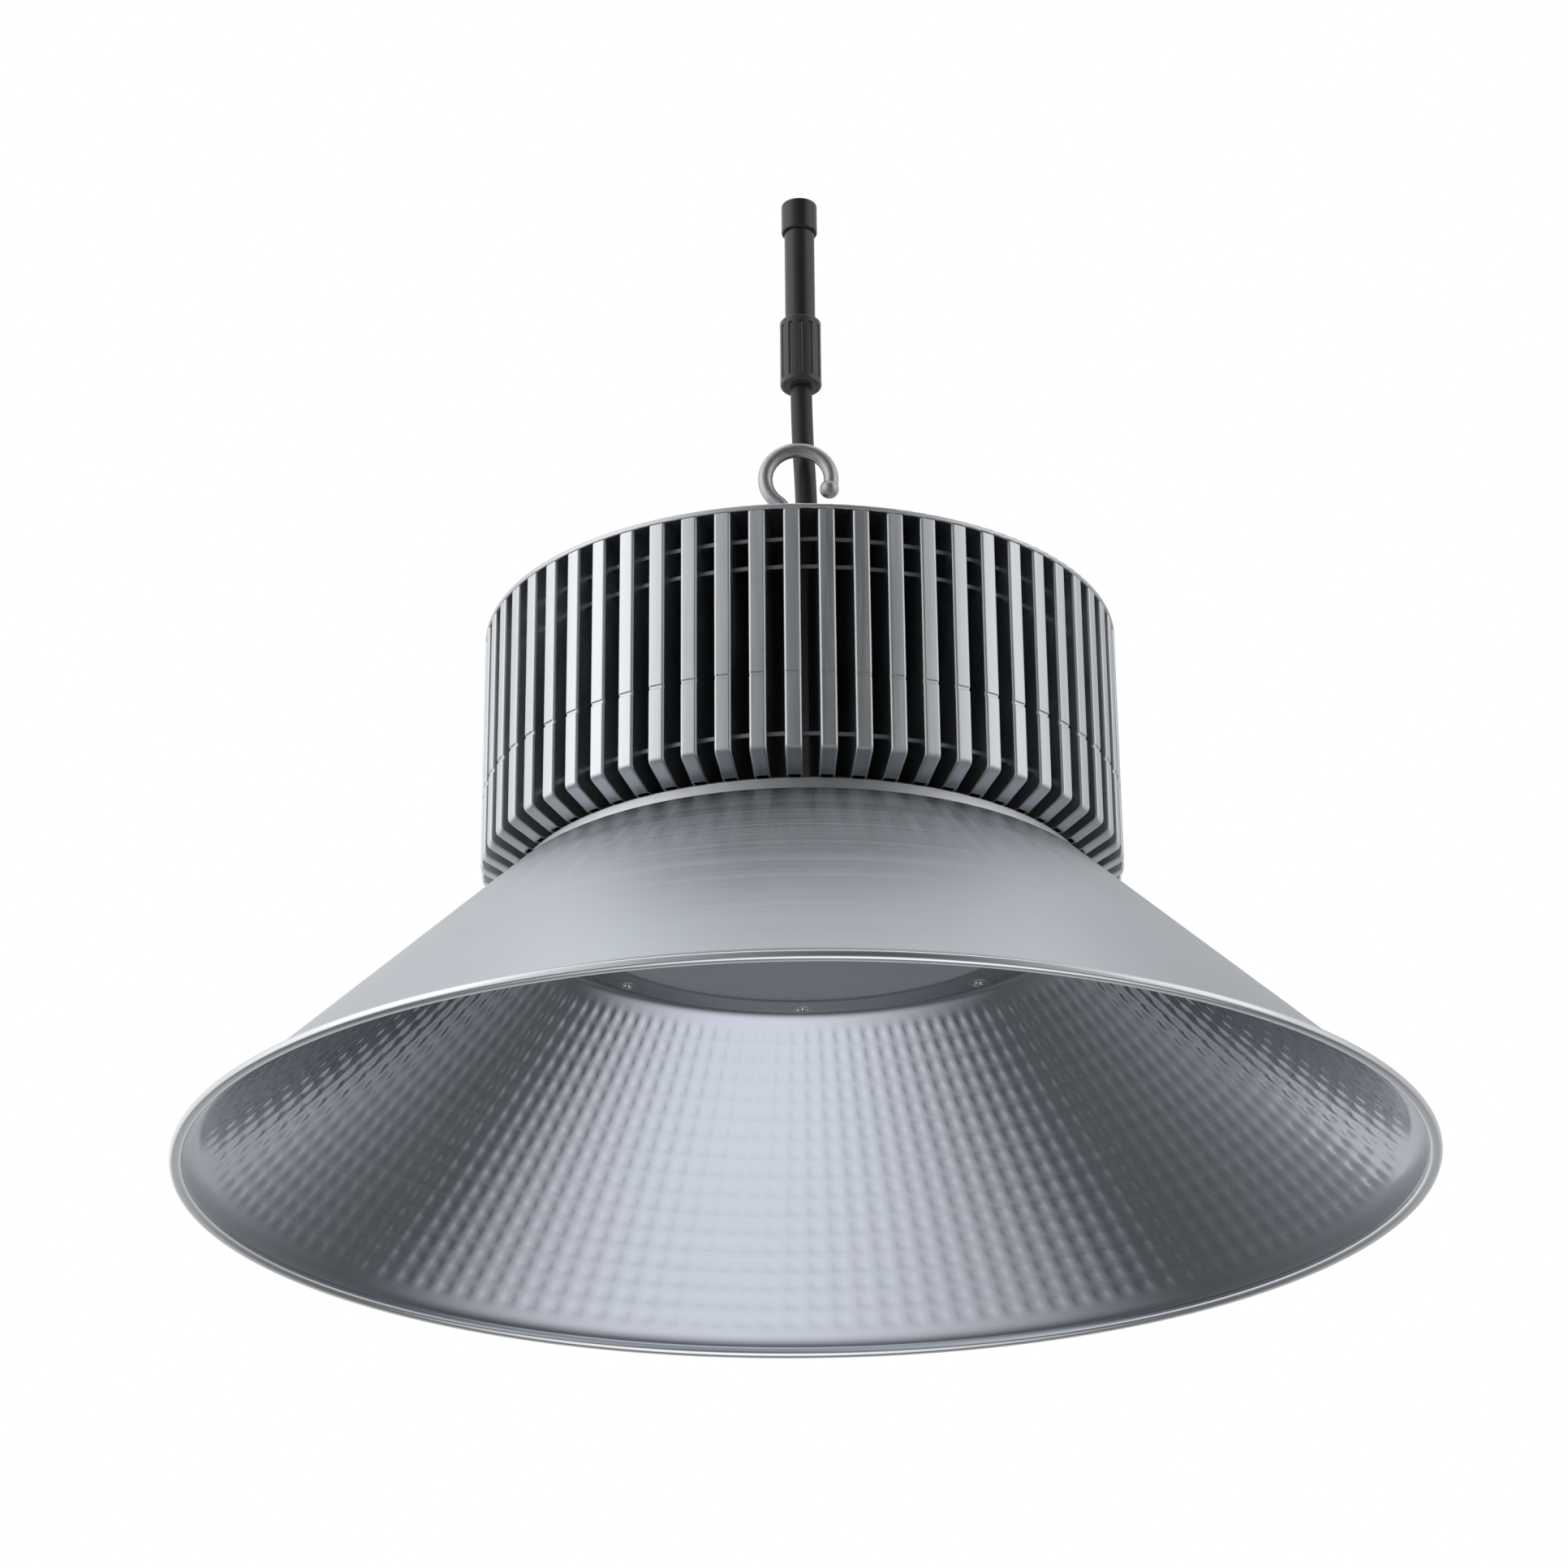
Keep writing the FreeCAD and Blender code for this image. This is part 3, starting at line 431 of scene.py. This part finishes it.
print("nodes in", bell_outside.material.name, "are", len(bell_outside.tree.nodes))

# %% Heat sink, plate and hook finishes
fin_metal = sheet_metal("folded_sheet", (0.60, 0.625, 0.65), 0.36, LINES, 700.0)
cut_edge = sheet_metal("sheared_edge", (0.24, 0.25, 0.27), 0.50, LINES, 700.0)
plate_metal = sheet_metal("turned_plate", (0.55, 0.56, 0.58), 0.38, RINGS, 600.0)
core_metal = sheet_metal("turned_core", (0.42, 0.43, 0.45), 0.42, RINGS, 500.0)
frame_metal = sheet_metal("turned_frame", (0.50, 0.51, 0.54), 0.30, RINGS, 900.0)
cover_metal = sheet_metal("drawn_cover", (0.50, 0.51, 0.53), 0.42, RINGS, 400.0)
hook_steel = sheet_metal("plated_hook", (0.44, 0.45, 0.46), 0.36, RINGS, 300.0, depth=0.000004, tone=0.03)
screw_steel = sheet_metal("plated_screws", (0.56, 0.56, 0.57), 0.26, RINGS, 1500.0, depth=0.000008)
brass = sheet_metal("contact_brass", (0.72, 0.55, 0.25), 0.3, RINGS, 1500.0)
print("materials with the metals:", len(bpy.data.materials))

# %% Glass, rubber, nylon and board finishes
ground_glass = moulded("ground_glass", (0.56, 0.60, 0.67), 0.42, 2500.0, 0.00002, 0.03)
silicone = moulded("silicone", (0.55, 0.56, 0.56), 0.5)
pad_sheet = moulded("thermal_sheet", (0.45, 0.47, 0.50), 0.6)
board_white = moulded("board_white", (0.78, 0.78, 0.76), 0.35, tone=0.03)
phosphor = moulded("chip_phosphor", (0.80, 0.62, 0.16), 0.4, tone=0.06)
potting = moulded("driver_potting", (0.03, 0.03, 0.033), 0.35)
lead_rubber = moulded("lead_rubber", (0.022, 0.023, 0.025), 0.42, 1400.0, 0.00004)
grommet_rubber = moulded("grommet_rubber", (0.03, 0.03, 0.03), 0.55)
nylon_black = moulded("connector_nylon", (0.030, 0.031, 0.033), 0.26, 1200.0, 0.00002)
nut_nylon = moulded("clamping_nut_nylon", (0.075, 0.078, 0.082), 0.26, 1200.0, 0.00002)
nylon_grey = moulded("connector_insert_nylon", (0.20, 0.21, 0.22), 0.4)
print("materials with all finishes:", len(bpy.data.materials))

# %% [markdown]
# ## Finishes on the solids
#
# A plate, a tube or a seal is as plain on the real lamp as its solid is. Such a piece could be remade
# too, but nothing would be gained, so it keeps its mesh and only gets its finish, in each of its slots.

# %% Dress the solids
DRESS = [
    (ground_glass, ["lens"]),
    (frame_metal, ["lens_frame"]),
    (silicone, ["lens_gasket", "cover_seal", "connector_seal"]),
    (plate_metal, ["base_plate", "top_plate", "hanging_boss"]),
    (pad_sheet, ["thermal_pad"]),
    (board_white, ["led_board"]),
    (phosphor, ["led_chips"]),
    (screw_steel, ["led_board_screws", "core_screws", "boss_nuts", "lens_frame_screws",
                   "top_plate_screws", "cover_screws", "boss_screws", "driver_standoffs"]),
    (core_metal, ["core_tube"]),
    (fin_metal, ["cooling_fins"]),
    (bell_outside, ["reflector_shell"]),
    (potting, ["driver_module"]),
    (cover_metal, ["driver_cover"]),
    (hook_steel, ["hanging_hook", "hook_lock_nut"]),
    (grommet_rubber, ["cable_grommet"]),
    (lead_rubber, ["power_cable", "led_leads"]),
    (nylon_black, ["connector_body"]),
    (nut_nylon, ["connector_nut"]),
    (nylon_grey, ["connector_insert"]),
    (brass, ["connector_contacts"]),
]
for finish, names in DRESS:
    for name in names:
        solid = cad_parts[name]
        if not solid.material_slots:
            solid.data.materials.append(finish.material)
        for socket in solid.material_slots:
            socket.material = finish.material
print("solids dressed:", sum(len(names) for finish, names in DRESS), "of", len(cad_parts))

# %% [markdown]
# ## The reflector
#
# The bell is one sheet, spun over a former. Its inside is peened with a regular grid of shallow
# dimples, 132 round and 16 down the cone, which breaks up the image of the LED chips. The dimples
# could be bump in the material, but they are what gives the inside its look, so they are shape: one
# turned grid with four columns to a dimple, and a cushion of sine squares raised towards the axis.
#
# The rim is a hem: the sheet turns down, in and up against itself. The bead is glossier than the bell,
# and its lighter colour is a painted highlight along the rolled edge. So the one mesh has three finishes,
# and each face gets its own from where it is and which way it looks.

# %% Reflector profile
DIMPLES_ROUND = 132
DIMPLES_DOWN = 16
DIMPLE_STEPS = 4                # steps of the grid to a dimple, each way
DIMPLE_HEIGHT = 0.5
DIMPLE_LOW_Z, DIMPLE_HIGH_Z = 8.6, 109.0        # heights between which the cone is dimpled
SHEET = 1.5                     # the wall at the collar
ARC_STEPS = 6
APERTURE_R = 90.0               # opening of the flat collar
SHOULDER_R, SHOULDER_BEND = 117.8, 10.0
LIP_R, LIP_Z, LIP_BEND = 231.3, 6.0, 14.5
HEM_Z, HEM_BEND = 2.9, 1.3
BEAD_R, BEAD_Z, BEAD_BEND = 235.0, 3.09, 2.2            # where the sheet, folded back, ends
INNER_SHOULDER_R, INNER_SHOULDER_BEND = 117.2, 8.5
INNER_LIP_R, INNER_LIP_Z, INNER_LIP_BEND = 230.49, 4.69, 16.0

outside = rounded([
    (APERTURE_R, COLLAR_Z, 0), (SHOULDER_R, COLLAR_Z, SHOULDER_BEND), (LIP_R, LIP_Z, LIP_BEND),
    (RIM_R, HEM_Z, HEM_BEND), (RIM_R, 0.0, HEM_BEND), (BEAD_R, 0.0, BEAD_BEND),
    (BEAD_R, BEAD_Z, 0)], ARC_STEPS)
outside = outside[:-1]          # its last point is the first one of the inside
inside = rounded([
    (BEAD_R, BEAD_Z, 0), (INNER_LIP_R, INNER_LIP_Z, INNER_LIP_BEND),
    (INNER_SHOULDER_R, COLLAR_Z - SHEET, INNER_SHOULDER_BEND), (APERTURE_R, COLLAR_Z - SHEET, 0)], ARC_STEPS)
# the straight inner cone lies between the end of the first arc and the start of the second
first_arc_end = ARC_STEPS + 1
cone_start, cone_end = inside[first_arc_end], inside[first_arc_end + 1]
slope = (cone_end - cone_start) / np.linalg.norm(cone_end - cone_start)
low = cone_start + slope * (DIMPLE_LOW_Z - cone_start[1]) / slope[1]
high = cone_start + slope * (DIMPLE_HIGH_Z - cone_start[1]) / slope[1]
share = np.linspace(0, 1, DIMPLES_DOWN * DIMPLE_STEPS + 1)
dimpled = low + (high - low) * share[:, None]
profile = np.concatenate([outside, inside[:first_arc_end + 1], dimpled, inside[first_arc_end + 1:]])
first_dimpled = len(outside) + first_arc_end + 1
print("reflector profile:", len(profile), "points; pitch down the cone %.2f mm" %
      (np.linalg.norm(high - low) / DIMPLES_DOWN))


# %% Reflector surface
def dimple_cushion(columns):
    """Height of the dimples: sine squared along the cone times sine squared round it, one half wave to
    each dimple, and nothing outside the dimpled band."""
    down = np.zeros(len(profile))
    down[first_dimpled:first_dimpled + len(share)] = np.sin(math.pi * share * DIMPLES_DOWN) ** 2
    around = np.sin(math.pi * np.arange(columns) / DIMPLE_STEPS) ** 2
    return DIMPLE_HEIGHT * down[:, None] * around[None, :]


columns = DIMPLES_ROUND * DIMPLE_STEPS
bell = turned(profile, columns)
inward = np.array([-slope[1], slope[0]])        # square to the cone, down and towards the axis
push = dimple_cushion(columns)
bell[..., 0] += push * inward[0] * np.cos(round_angles(columns))
bell[..., 1] += push * inward[0] * np.sin(round_angles(columns))
bell[..., 2] += push * inward[1]
faces = grid_quads(len(profile), columns, close_rows=True)
reflector = piece("spun_reflector", [(bell, faces, 0)],
                  [bell_outside.material, bell_inside.material, painted_bead_highlight.material], sharp=50)
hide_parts("reflector_shell")


# %% Which finish each face of the reflector has
def face_values(mesh, what):
    """The three numbers that each face has under a name, such as its centre, one face to a row."""
    values = np.empty(len(mesh.polygons) * 3)
    mesh.polygons.foreach_get(what, values)
    return values.reshape(-1, 3)


FACES_DOWN = -0.2               # a face whose normal's z is less than this looks down
SEAM = 0.1                      # mm: a face this near to the bead's radius is on the bead
centres = face_values(reflector.data, "center") / MM
from_axis = np.hypot(centres[:, 0], centres[:, 1])
is_inside = (face_values(reflector.data, "normal")[:, 2] < FACES_DOWN) & (from_axis < BEAD_R - SEAM)
is_bead = (from_axis >= BEAD_R - SEAM) & (centres[:, 2] < BEAD_Z)
# faces on the bead take the third finish, whose lighter colour is a painted highlight
reflector.data.polygons.foreach_set("material_index", (is_inside + 2 * is_bead).astype(np.int32))
print("faces inside:", int(is_inside.sum()), "and on the bead:", int(is_bead.sum()))

# %% [markdown]
# ## The folded fins
#
# Each fin is a strip of sheet folded into a deep channel: two webs run out from the core and a narrow
# face joins them. The solids have square folds, and a real fold is round, which is what catches the
# light along every edge. A Bevel modifier could round the solid's edges, but it would round the ends
# too, where the strip is cut off. So one channel is remade: its section is a rounded U, carried up the
# fin along a list of heights, and pushed in along the sloped foot and at the shallow pressed line below
# the middle. Sixty turned copies of its points come from one multiplication.
#
# Small tabs reach from each channel to the next and keep their spacing. They are sheared, not folded,
# so their finish is duller.

# %% Fin section and heights
FINS = 60
FIN_PHASE = -1.5                # degrees from the front to the middle of the first channel
HALF_FIN = math.radians(1.5)    # half the angle that a channel covers
FIN_R = 126.0                   # out to the channels' faces
CORE_R = 54.0
FIN_SHEET = 0.8
FOLD_OUTER, FOLD_INNER = 1.1, 0.3
FOLD_STEPS = 3
# the sloped foot, rounded into the face: (height above the channel's lower end, radius of the face)
FOOT = [(0.0, 115.0), (4.6, 123.4), (5.4, 124.7), (6.2, 125.6), (7.6, FIN_R)]
PRESSED_Z, PRESSED_DEPTH = 157.0, 0.45
PRESSED_MOUTH, PRESSED_FLOOR = 0.9, 0.5         # half heights of the pressed line, at its mouth and its floor
TOP_H, TOP_IN = 0.4, 0.25                       # the small bevel on a channel's upper end


def channel_side(radius, inset, fold):
    """Half open U: out along one web, over the face and back, with its two folds rounded."""
    core, face = CORE_R * math.tan(HALF_FIN) - inset, radius * math.tan(HALF_FIN) - inset
    corners = [(CORE_R, -core, 0), (radius, -face, fold), (radius, face, fold), (CORE_R, core, 0)]
    return rounded(corners, FOLD_STEPS)


web_inset = FIN_SHEET / math.cos(HALF_FIN)
u_section = np.concatenate([channel_side(FIN_R, 0.0, FOLD_OUTER),
                            channel_side(FIN_R - FIN_SHEET, web_inset, FOLD_INNER)[::-1]])
fin_rows = np.array([(FIN_Z + up, radius) for up, radius in FOOT] + [
    (PRESSED_Z - PRESSED_MOUTH, FIN_R), (PRESSED_Z - PRESSED_FLOOR, FIN_R - PRESSED_DEPTH),
    (PRESSED_Z + PRESSED_FLOOR, FIN_R - PRESSED_DEPTH), (PRESSED_Z + PRESSED_MOUTH, FIN_R),
    (FIN_TOP_Z - TOP_H, FIN_R), (FIN_TOP_Z, FIN_R - TOP_IN)])
print("fin section:", len(u_section), "points, on", len(fin_rows), "heights")


# %% Turned copies
def turned_copies(points, count, start):
    """Copies of an array of points, turned about Z by equal steps: x' = x cos - y sin, y' = x sin + y cos."""
    angle = np.radians(start + 360.0 * np.arange(count) / count).reshape(-1, *[1] * (points.ndim - 1))
    x, y, z = points[..., 0], points[..., 1], points[..., 2]
    return np.stack([x * np.cos(angle) - y * np.sin(angle), x * np.sin(angle) + y * np.cos(angle),
                     np.broadcast_to(z, np.broadcast_shapes(z.shape, angle.shape))], -1)


def copied_quads(quads, points_each, count):
    """The same quads for each copy, with their corner numbers moved on by the points of one copy."""
    return (quads[None] + points_each * np.arange(count)[:, None, None]).reshape(-1, 4)


# %% One channel, and sixty of them
# a point out on the web or the face moves in with the row's radius, and stays on its radial plane
across = np.where(u_section[:, 0] > CORE_R, u_section[:, 0] + fin_rows[:, 1, None] - FIN_R, CORE_R)
aside = u_section[:, 1] * across / u_section[:, 0]
channel = np.stack([across, aside, np.broadcast_to(fin_rows[:, 0, None], across.shape)], -1)
rows, points_round = across.shape
# each end is closed by quads from the outer line of the U to its inner line
end = np.arange(points_round // 2 - 1)
cap = np.stack([end, end + 1, points_round - 2 - end, points_round - 1 - end], -1)
other_cap = cap[:, ::-1] + (rows - 1) * points_round
channel_quads = np.concatenate([grid_quads(rows, points_round), cap, other_cap])
channels = turned_copies(channel[None], FINS, -90.0 + FIN_PHASE)
print("points of the channels:", channels.shape[0], "times", rows * points_round)

# %% The tabs, and the whole ring
# a tab that hooks a channel to the next is a small block between two webs, at each of three heights
TAB_HEIGHTS = np.array([12.7, 81.0, 92.5])
TAB_R, TAB_T, TAB_H = 119.5, 1.0, 1.6
BLOCK_POINTS = 8
turn_near, turn_far = math.tan(HALF_FIN), math.tan(3 * HALF_FIN)
foot = np.array([(TAB_R, TAB_R * turn_near), (TAB_R + TAB_T, (TAB_R + TAB_T) * turn_near),
                 (TAB_R + TAB_T, (TAB_R + TAB_T) * turn_far), (TAB_R, TAB_R * turn_far)])
block = np.zeros((len(TAB_HEIGHTS), 2, 4, 3))
block[..., :2] = foot
block[..., 2] = FIN_Z + TAB_HEIGHTS[:, None, None] + np.array([0.0, TAB_H])[:, None]
block_quads = np.concatenate([grid_quads(2, 4), [[3, 2, 1, 0], [4, 5, 6, 7]]])
tabs = np.concatenate([turned_copies(one[None], FINS, -90.0 + FIN_PHASE) for one in block])
fins = piece("folded_fins", [
    (channels, copied_quads(channel_quads, rows * points_round, FINS), 0),
    (tabs, copied_quads(block_quads, BLOCK_POINTS, FINS * len(TAB_HEIGHTS)), 1)],
    [fin_metal.material, cut_edge.material], sharp=40, flats=True)
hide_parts("cooling_fins")

# %% [markdown]
# ## Screws with their cross recess
#
# The screws that show from below and above get a recess for the driver. It could be cut with a Boolean,
# but then every screw would have faces of odd shapes. Here a screw is one turned grid, and the recess is
# a cross-shaped height taken off its head: deepest on the axis, with sloped ends.

# %% Screw shapes
SHANK_R = 2.0
RECESS_R, RECESS_DEPTH = 2.3, 1.5
ARM = 0.30                      # half width of the cross's arms, as a share of the recess radius
ARM_WALL = 0.35                 # the part of that half width over which an arm's side walls slope
ARM_END = 1.25                  # how far out the recess ends, in recess radii
CROWN_ROWS = 11                 # rings of points over the head's flat top
SCREW_COLUMNS = 40


def cross_screw(head, length):
    """Points of one screw, head up, with the underside of its head at z = 0: the head's (radius, height)
    profile from the middle out, then the shank. The recess lowers a point on the crown by its depth
    times (ARM_END - distance / recess radius), held between 0 and 1, and by less towards an arm's side."""
    top_r, top_z = head[0]
    crown = np.linspace(0, top_r, CROWN_ROWS)
    line = np.concatenate([np.stack([crown, np.full(CROWN_ROWS, top_z)], -1), head[1:],
                           [(SHANK_R, 0.0), (SHANK_R, -length), (0.0, -length)]])
    shell = turned(line, SCREW_COLUMNS)
    x, y = shell[..., 0], shell[..., 1]
    arm = RECESS_R * ARM
    near = np.minimum(np.abs(x), np.abs(y))
    inwards = np.clip(ARM_END - np.hypot(x, y) / RECESS_R, 0, 1)
    share = inwards * np.clip((arm - near) / (arm * ARM_WALL), 0, 1)
    on_top = (np.arange(len(line)) < CROWN_ROWS)[:, None]
    shell[..., 2] -= RECESS_DEPTH * share * on_top
    return shell


def screw_set(name, node, screw, circle_r, count, start, z, way):
    """A circle of equal screws in one piece, heads up (way 1) or down (way -1), in place of their solids."""
    shell = screw * np.array([1, way, way]) + np.array([circle_r, 0, z])
    rows, columns = screw.shape[:2]
    copies = turned_copies(shell[None], count, start)
    made = piece(name, [(copies, copied_quads(grid_quads(rows, columns), rows * columns, count), 0)],
                 [screw_steel.material], sharp=30, flats=True)
    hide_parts(node)


# outlines of the heads, from the edge of the flat top on: (radius, height) in millimetres
M4_COUNTERSUNK = [(3.7, 0.0), (3.9, -0.15), (2.0, -1.9)]
M4_PAN = [(2.5, 2.4), (3.2, 2.1), (3.55, 1.5), (3.6, 0.9), (3.6, 0.0)]

# %% Screws in place
# name, solid that it stands for, head, radius of the circle in mm, how many, first angle, heads up or down
for name, node, head, circle_r, count, start, way in (
        ("lens_frame_cross_screws", "lens_frame_screws", M4_COUNTERSUNK, 101.0, 8, 0.0, -1),
        ("top_plate_cross_screws", "top_plate_screws", M4_COUNTERSUNK, 48.0, 4, 45.0, 1),
        ("cover_cross_screws", "cover_screws", M4_PAN, 62.5, 6, 30.0, 1),
        ("boss_cross_screws", "boss_screws", M4_PAN, 23.3, 3, 30.0, 1)):
    bottom, top = height_span(node)
    head_top = head[0][1]
    seat = (top if way > 0 else bottom) - way * head_top
    screw_set(name, node, cross_screw(head, top - bottom - head_top), circle_r, count, start, seat, way)

# %% [markdown]
# ## The mains lead
#
# A round flex could be a tube of quads, but a curve with a round bevel keeps its route and thickness as
# plain numbers. Its line is a spline that the points of the route pull into shape: straight up out of
# the driver, through the grommet in the boss, past the hook, and into the connector.

# %% Mains lead
LEAD_D = 0.009          # metres, as the points of the route are
ROUTE = [(0.001, 0.008, 0.213), (0.001, 0.008, 0.228), (0.0035, 0.0105, 0.251), (0.0035, 0.0105, 0.298),
         (0.0016, 0.0105, 0.334), (0.0016, 0.0105, 0.370)]
flex = bpy.data.curves.new("mains_lead", "CURVE")
flex.dimensions = "3D"
flex.bevel_depth = LEAD_D / 2
flex.bevel_resolution = 6
flex.resolution_u = 24
flex.use_fill_caps = True
run = flex.splines.new("NURBS")
run.points.add(len(ROUTE) - 1)
for point, place in zip(run.points, ROUTE):
    point.co = (*place, 1.0)
run.order_u = 3
run.use_endpoint_u = True
flex.materials.append(lead_rubber.material)
lead = bpy.data.objects.new("mains_lead", flex)
bpy.context.collection.objects.link(lead)
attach(lead, "root")
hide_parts("power_cable")

# %% [markdown]
# ## Camera, floor and light
#
# The lamp hangs, and the camera looks up at it from below the rim, near enough for strong perspective:
# the far half of the rim shows below the near half, and the top of the fins is out of sight.
#
# Bare metal shows what it mirrors, and in an even white room it would look flat. More lamps could shape
# it, but then their outlines would show on the sheet. So the floor and the room are pale to the camera,
# and to the metal they are a pool of light on a grey floor, two bright walls and a bright back.

# %% Camera
CAMERA_AT = (-0.0069, -1.520, -0.4965)
TILT_UP = math.radians(23.58)
ROLL = math.radians(-0.5)
FOCAL_LENGTH, SENSOR_WIDTH = 96.1, 36.0         # millimetres
NEAREST = 0.01                                  # metres
camera_data = bpy.data.cameras.new("camera")
camera_data.lens = FOCAL_LENGTH
camera_data.sensor_width = SENSOR_WIDTH
camera_data.clip_start = NEAREST
camera = bpy.data.objects.new("camera", camera_data)
camera.location = CAMERA_AT
turn = Euler((math.pi / 2 + TILT_UP, 0, 0)).to_matrix() @ Matrix.Rotation(ROLL, 3, "Z")
camera.rotation_euler = turn.to_euler()
bpy.context.collection.objects.link(camera)
bpy.context.scene.camera = camera
print("camera %.2f m from the middle of the rim" % Vector(CAMERA_AT).length)

# %% Floor
FLOOR_Z = -2.4                                  # metres, as all sizes of the stage are
FLOOR_RINGS = (0.0, 3.0, 9.0)
FLOOR_COLUMNS = 64
floor_points = turned(np.array([[radius, FLOOR_Z] for radius in FLOOR_RINGS]), FLOOR_COLUMNS)
floor_quads = grid_quads(len(FLOOR_RINGS), FLOOR_COLUMNS)[:, ::-1]
floor_mesh = bpy.data.meshes.new("floor")
floor_mesh.from_pydata(floor_points.reshape(-1, 3).tolist(), [], floor_quads.tolist())
floor = bpy.data.objects.new("floor", floor_mesh)
bpy.context.collection.objects.link(floor)
print("floor of", len(floor_mesh.polygons), "faces at", FLOOR_Z, "m")

# %% Floor finish
POOL_AT = (0.50, -0.85, FLOOR_Z)
POOL_FROM, POOL_TO, POOL_LIGHT = 0.3, 3.0, 1.42     # the pool's light fades out between these distances
FAR_FROM, FAR_TO = 2.2, 8.0                         # and the grey floor brightens between these
FAR_DARK, FAR_LIGHT = 0.12, 0.50
CAMERA_SHARE = 0.6                                  # how much of the white glow the camera sees


def mirrored_share(tree, ray):
    """1 for a ray that a glossy surface mirrors or that comes through glass, and 0 for the others."""
    return maths(tree, "MAXIMUM", ray["Is Glossy Ray"], ray["Is Transmission Ray"])


floor_finish = moulded("pale_floor", (0.80, 0.80, 0.80), 0.8, 20.0, 0.0002, 0.01)
floor_mesh.materials.append(floor_finish.material)
tree = floor_finish.tree
ray = tree.nodes.new("ShaderNodeLightPath").outputs
gap = tree.nodes.new("ShaderNodeVectorMath")
gap.operation = "DISTANCE"
link(tree, texture_place(tree), gap.inputs[0])
gap.inputs[1].default_value = POOL_AT
distance = gap.outputs["Value"]
pool = spread(tree, distance, POOL_FROM, POOL_TO, POOL_LIGHT, 0.0)
pool.node.interpolation_type = "SMOOTHSTEP"
pool = maths(tree, "ADD", pool, spread(tree, distance, FAR_FROM, FAR_TO, FAR_DARK, FAR_LIGHT))
mirrored = mirrored_share(tree, ray)
# the glow is the pool to what mirrors it, and an even white to the rest
strength = maths(tree, "ADD", maths(tree, "MULTIPLY", mirrored, pool), maths(tree, "SUBTRACT", 1.0, mirrored))
glow = tree.nodes.new("ShaderNodeEmission")
link(tree, strength, glow.inputs["Strength"])
blend = tree.nodes.new("ShaderNodeMixShader")
seen = maths(tree, "MULTIPLY", ray["Is Camera Ray"], CAMERA_SHARE)
link(tree, maths(tree, "ADD", mirrored, seen), blend.inputs["Fac"])
link(tree, floor_finish.shader.outputs["BSDF"], blend.inputs[1])
link(tree, glow.outputs["Emission"], blend.inputs[2])
link(tree, blend.outputs["Shader"], tree.nodes["Material Output"].inputs["Surface"])
print("nodes in", floor_finish.material.name, "are", len(tree.nodes))


# %% Lamps
def soft_lamp(name, place, aim, size, power):
    """Rectangular area lamp that faces a point: size in metres, power in watts."""
    data = bpy.data.lights.new(name, "AREA")
    data.shape = "RECTANGLE"
    data.size, data.size_y = size
    data.energy = power
    lamp = bpy.data.objects.new(name, data)
    lamp.location = place
    lamp.rotation_euler = (Vector(aim) - Vector(place)).to_track_quat("-Z", "Y").to_euler()
    lamp.visible_camera = False
    bpy.context.collection.objects.link(lamp)


soft_lamp("left_box", (-1.9, -0.7, 1.1), (0, 0, 0.12), (1.3, 1.8), 4.0)
soft_lamp("right_box", (1.9, -0.7, 1.1), (0, 0, 0.12), (1.3, 1.8), 3.5)
soft_lamp("top_box", (0, 0.3, 2.2), (0, 0, 0.2), (1.8, 1.8), 6.0)
print("lamps:", [lamp.name for lamp in bpy.data.lights])

# %% World
SOFT_LIGHT = 0.22               # what the room adds to surfaces that don't mirror it
# light of each part of the room, and the x or y of the directions between which it changes
FRONT_LIGHT, BACK_LIGHT, FRONT_Y, BACK_Y = 0.12, 0.67, -0.8, 0.2
WALL_LIGHT, WALL_FROM_X, WALL_FULL_X, WALL_TO_Y, WALL_GONE_Y = 0.33, 0.38, 0.64, 0.1, 0.5
LEFT_LIGHT, LEFT_FULL_X, LEFT_GONE_X = 0.38, -0.5, 0.1
world = bpy.data.worlds.new("studio")
bpy.context.scene.world = world
world.use_nodes = True
tree = world.node_tree
ray = tree.nodes.new("ShaderNodeLightPath").outputs
aim_x, aim_y, _ = apart(tree, texture_place(tree, "Generated"))
# the room that metal mirrors: dark at the front and bright at the back, with walls that are bright at
# both sides and fade out behind, and more light from the left
front_to_back = spread(tree, aim_y, FRONT_Y, BACK_Y, FRONT_LIGHT, BACK_LIGHT)
walls = maths(tree, "MULTIPLY", spread(tree, maths(tree, "ABSOLUTE", aim_x), WALL_FROM_X, WALL_FULL_X),
              spread(tree, aim_y, WALL_TO_Y, WALL_GONE_Y, WALL_LIGHT, 0.0))
left = spread(tree, aim_x, LEFT_FULL_X, LEFT_GONE_X, LEFT_LIGHT, 0.0)
room = maths(tree, "ADD", maths(tree, "ADD", front_to_back, walls), left)
mirrored = mirrored_share(tree, ray)
lit = maths(tree, "ADD", maths(tree, "MULTIPLY", mirrored, room),
            maths(tree, "MULTIPLY", maths(tree, "SUBTRACT", 1.0, mirrored), SOFT_LIGHT))
background = tree.nodes["Background"]
background.inputs["Color"].default_value = (1, 1, 1, 1)
link(tree, maths(tree, "MAXIMUM", ray["Is Camera Ray"], lit), background.inputs["Strength"])
bpy.context.scene.view_settings.view_transform = "Standard"
print("nodes of the world:", len(tree.nodes))
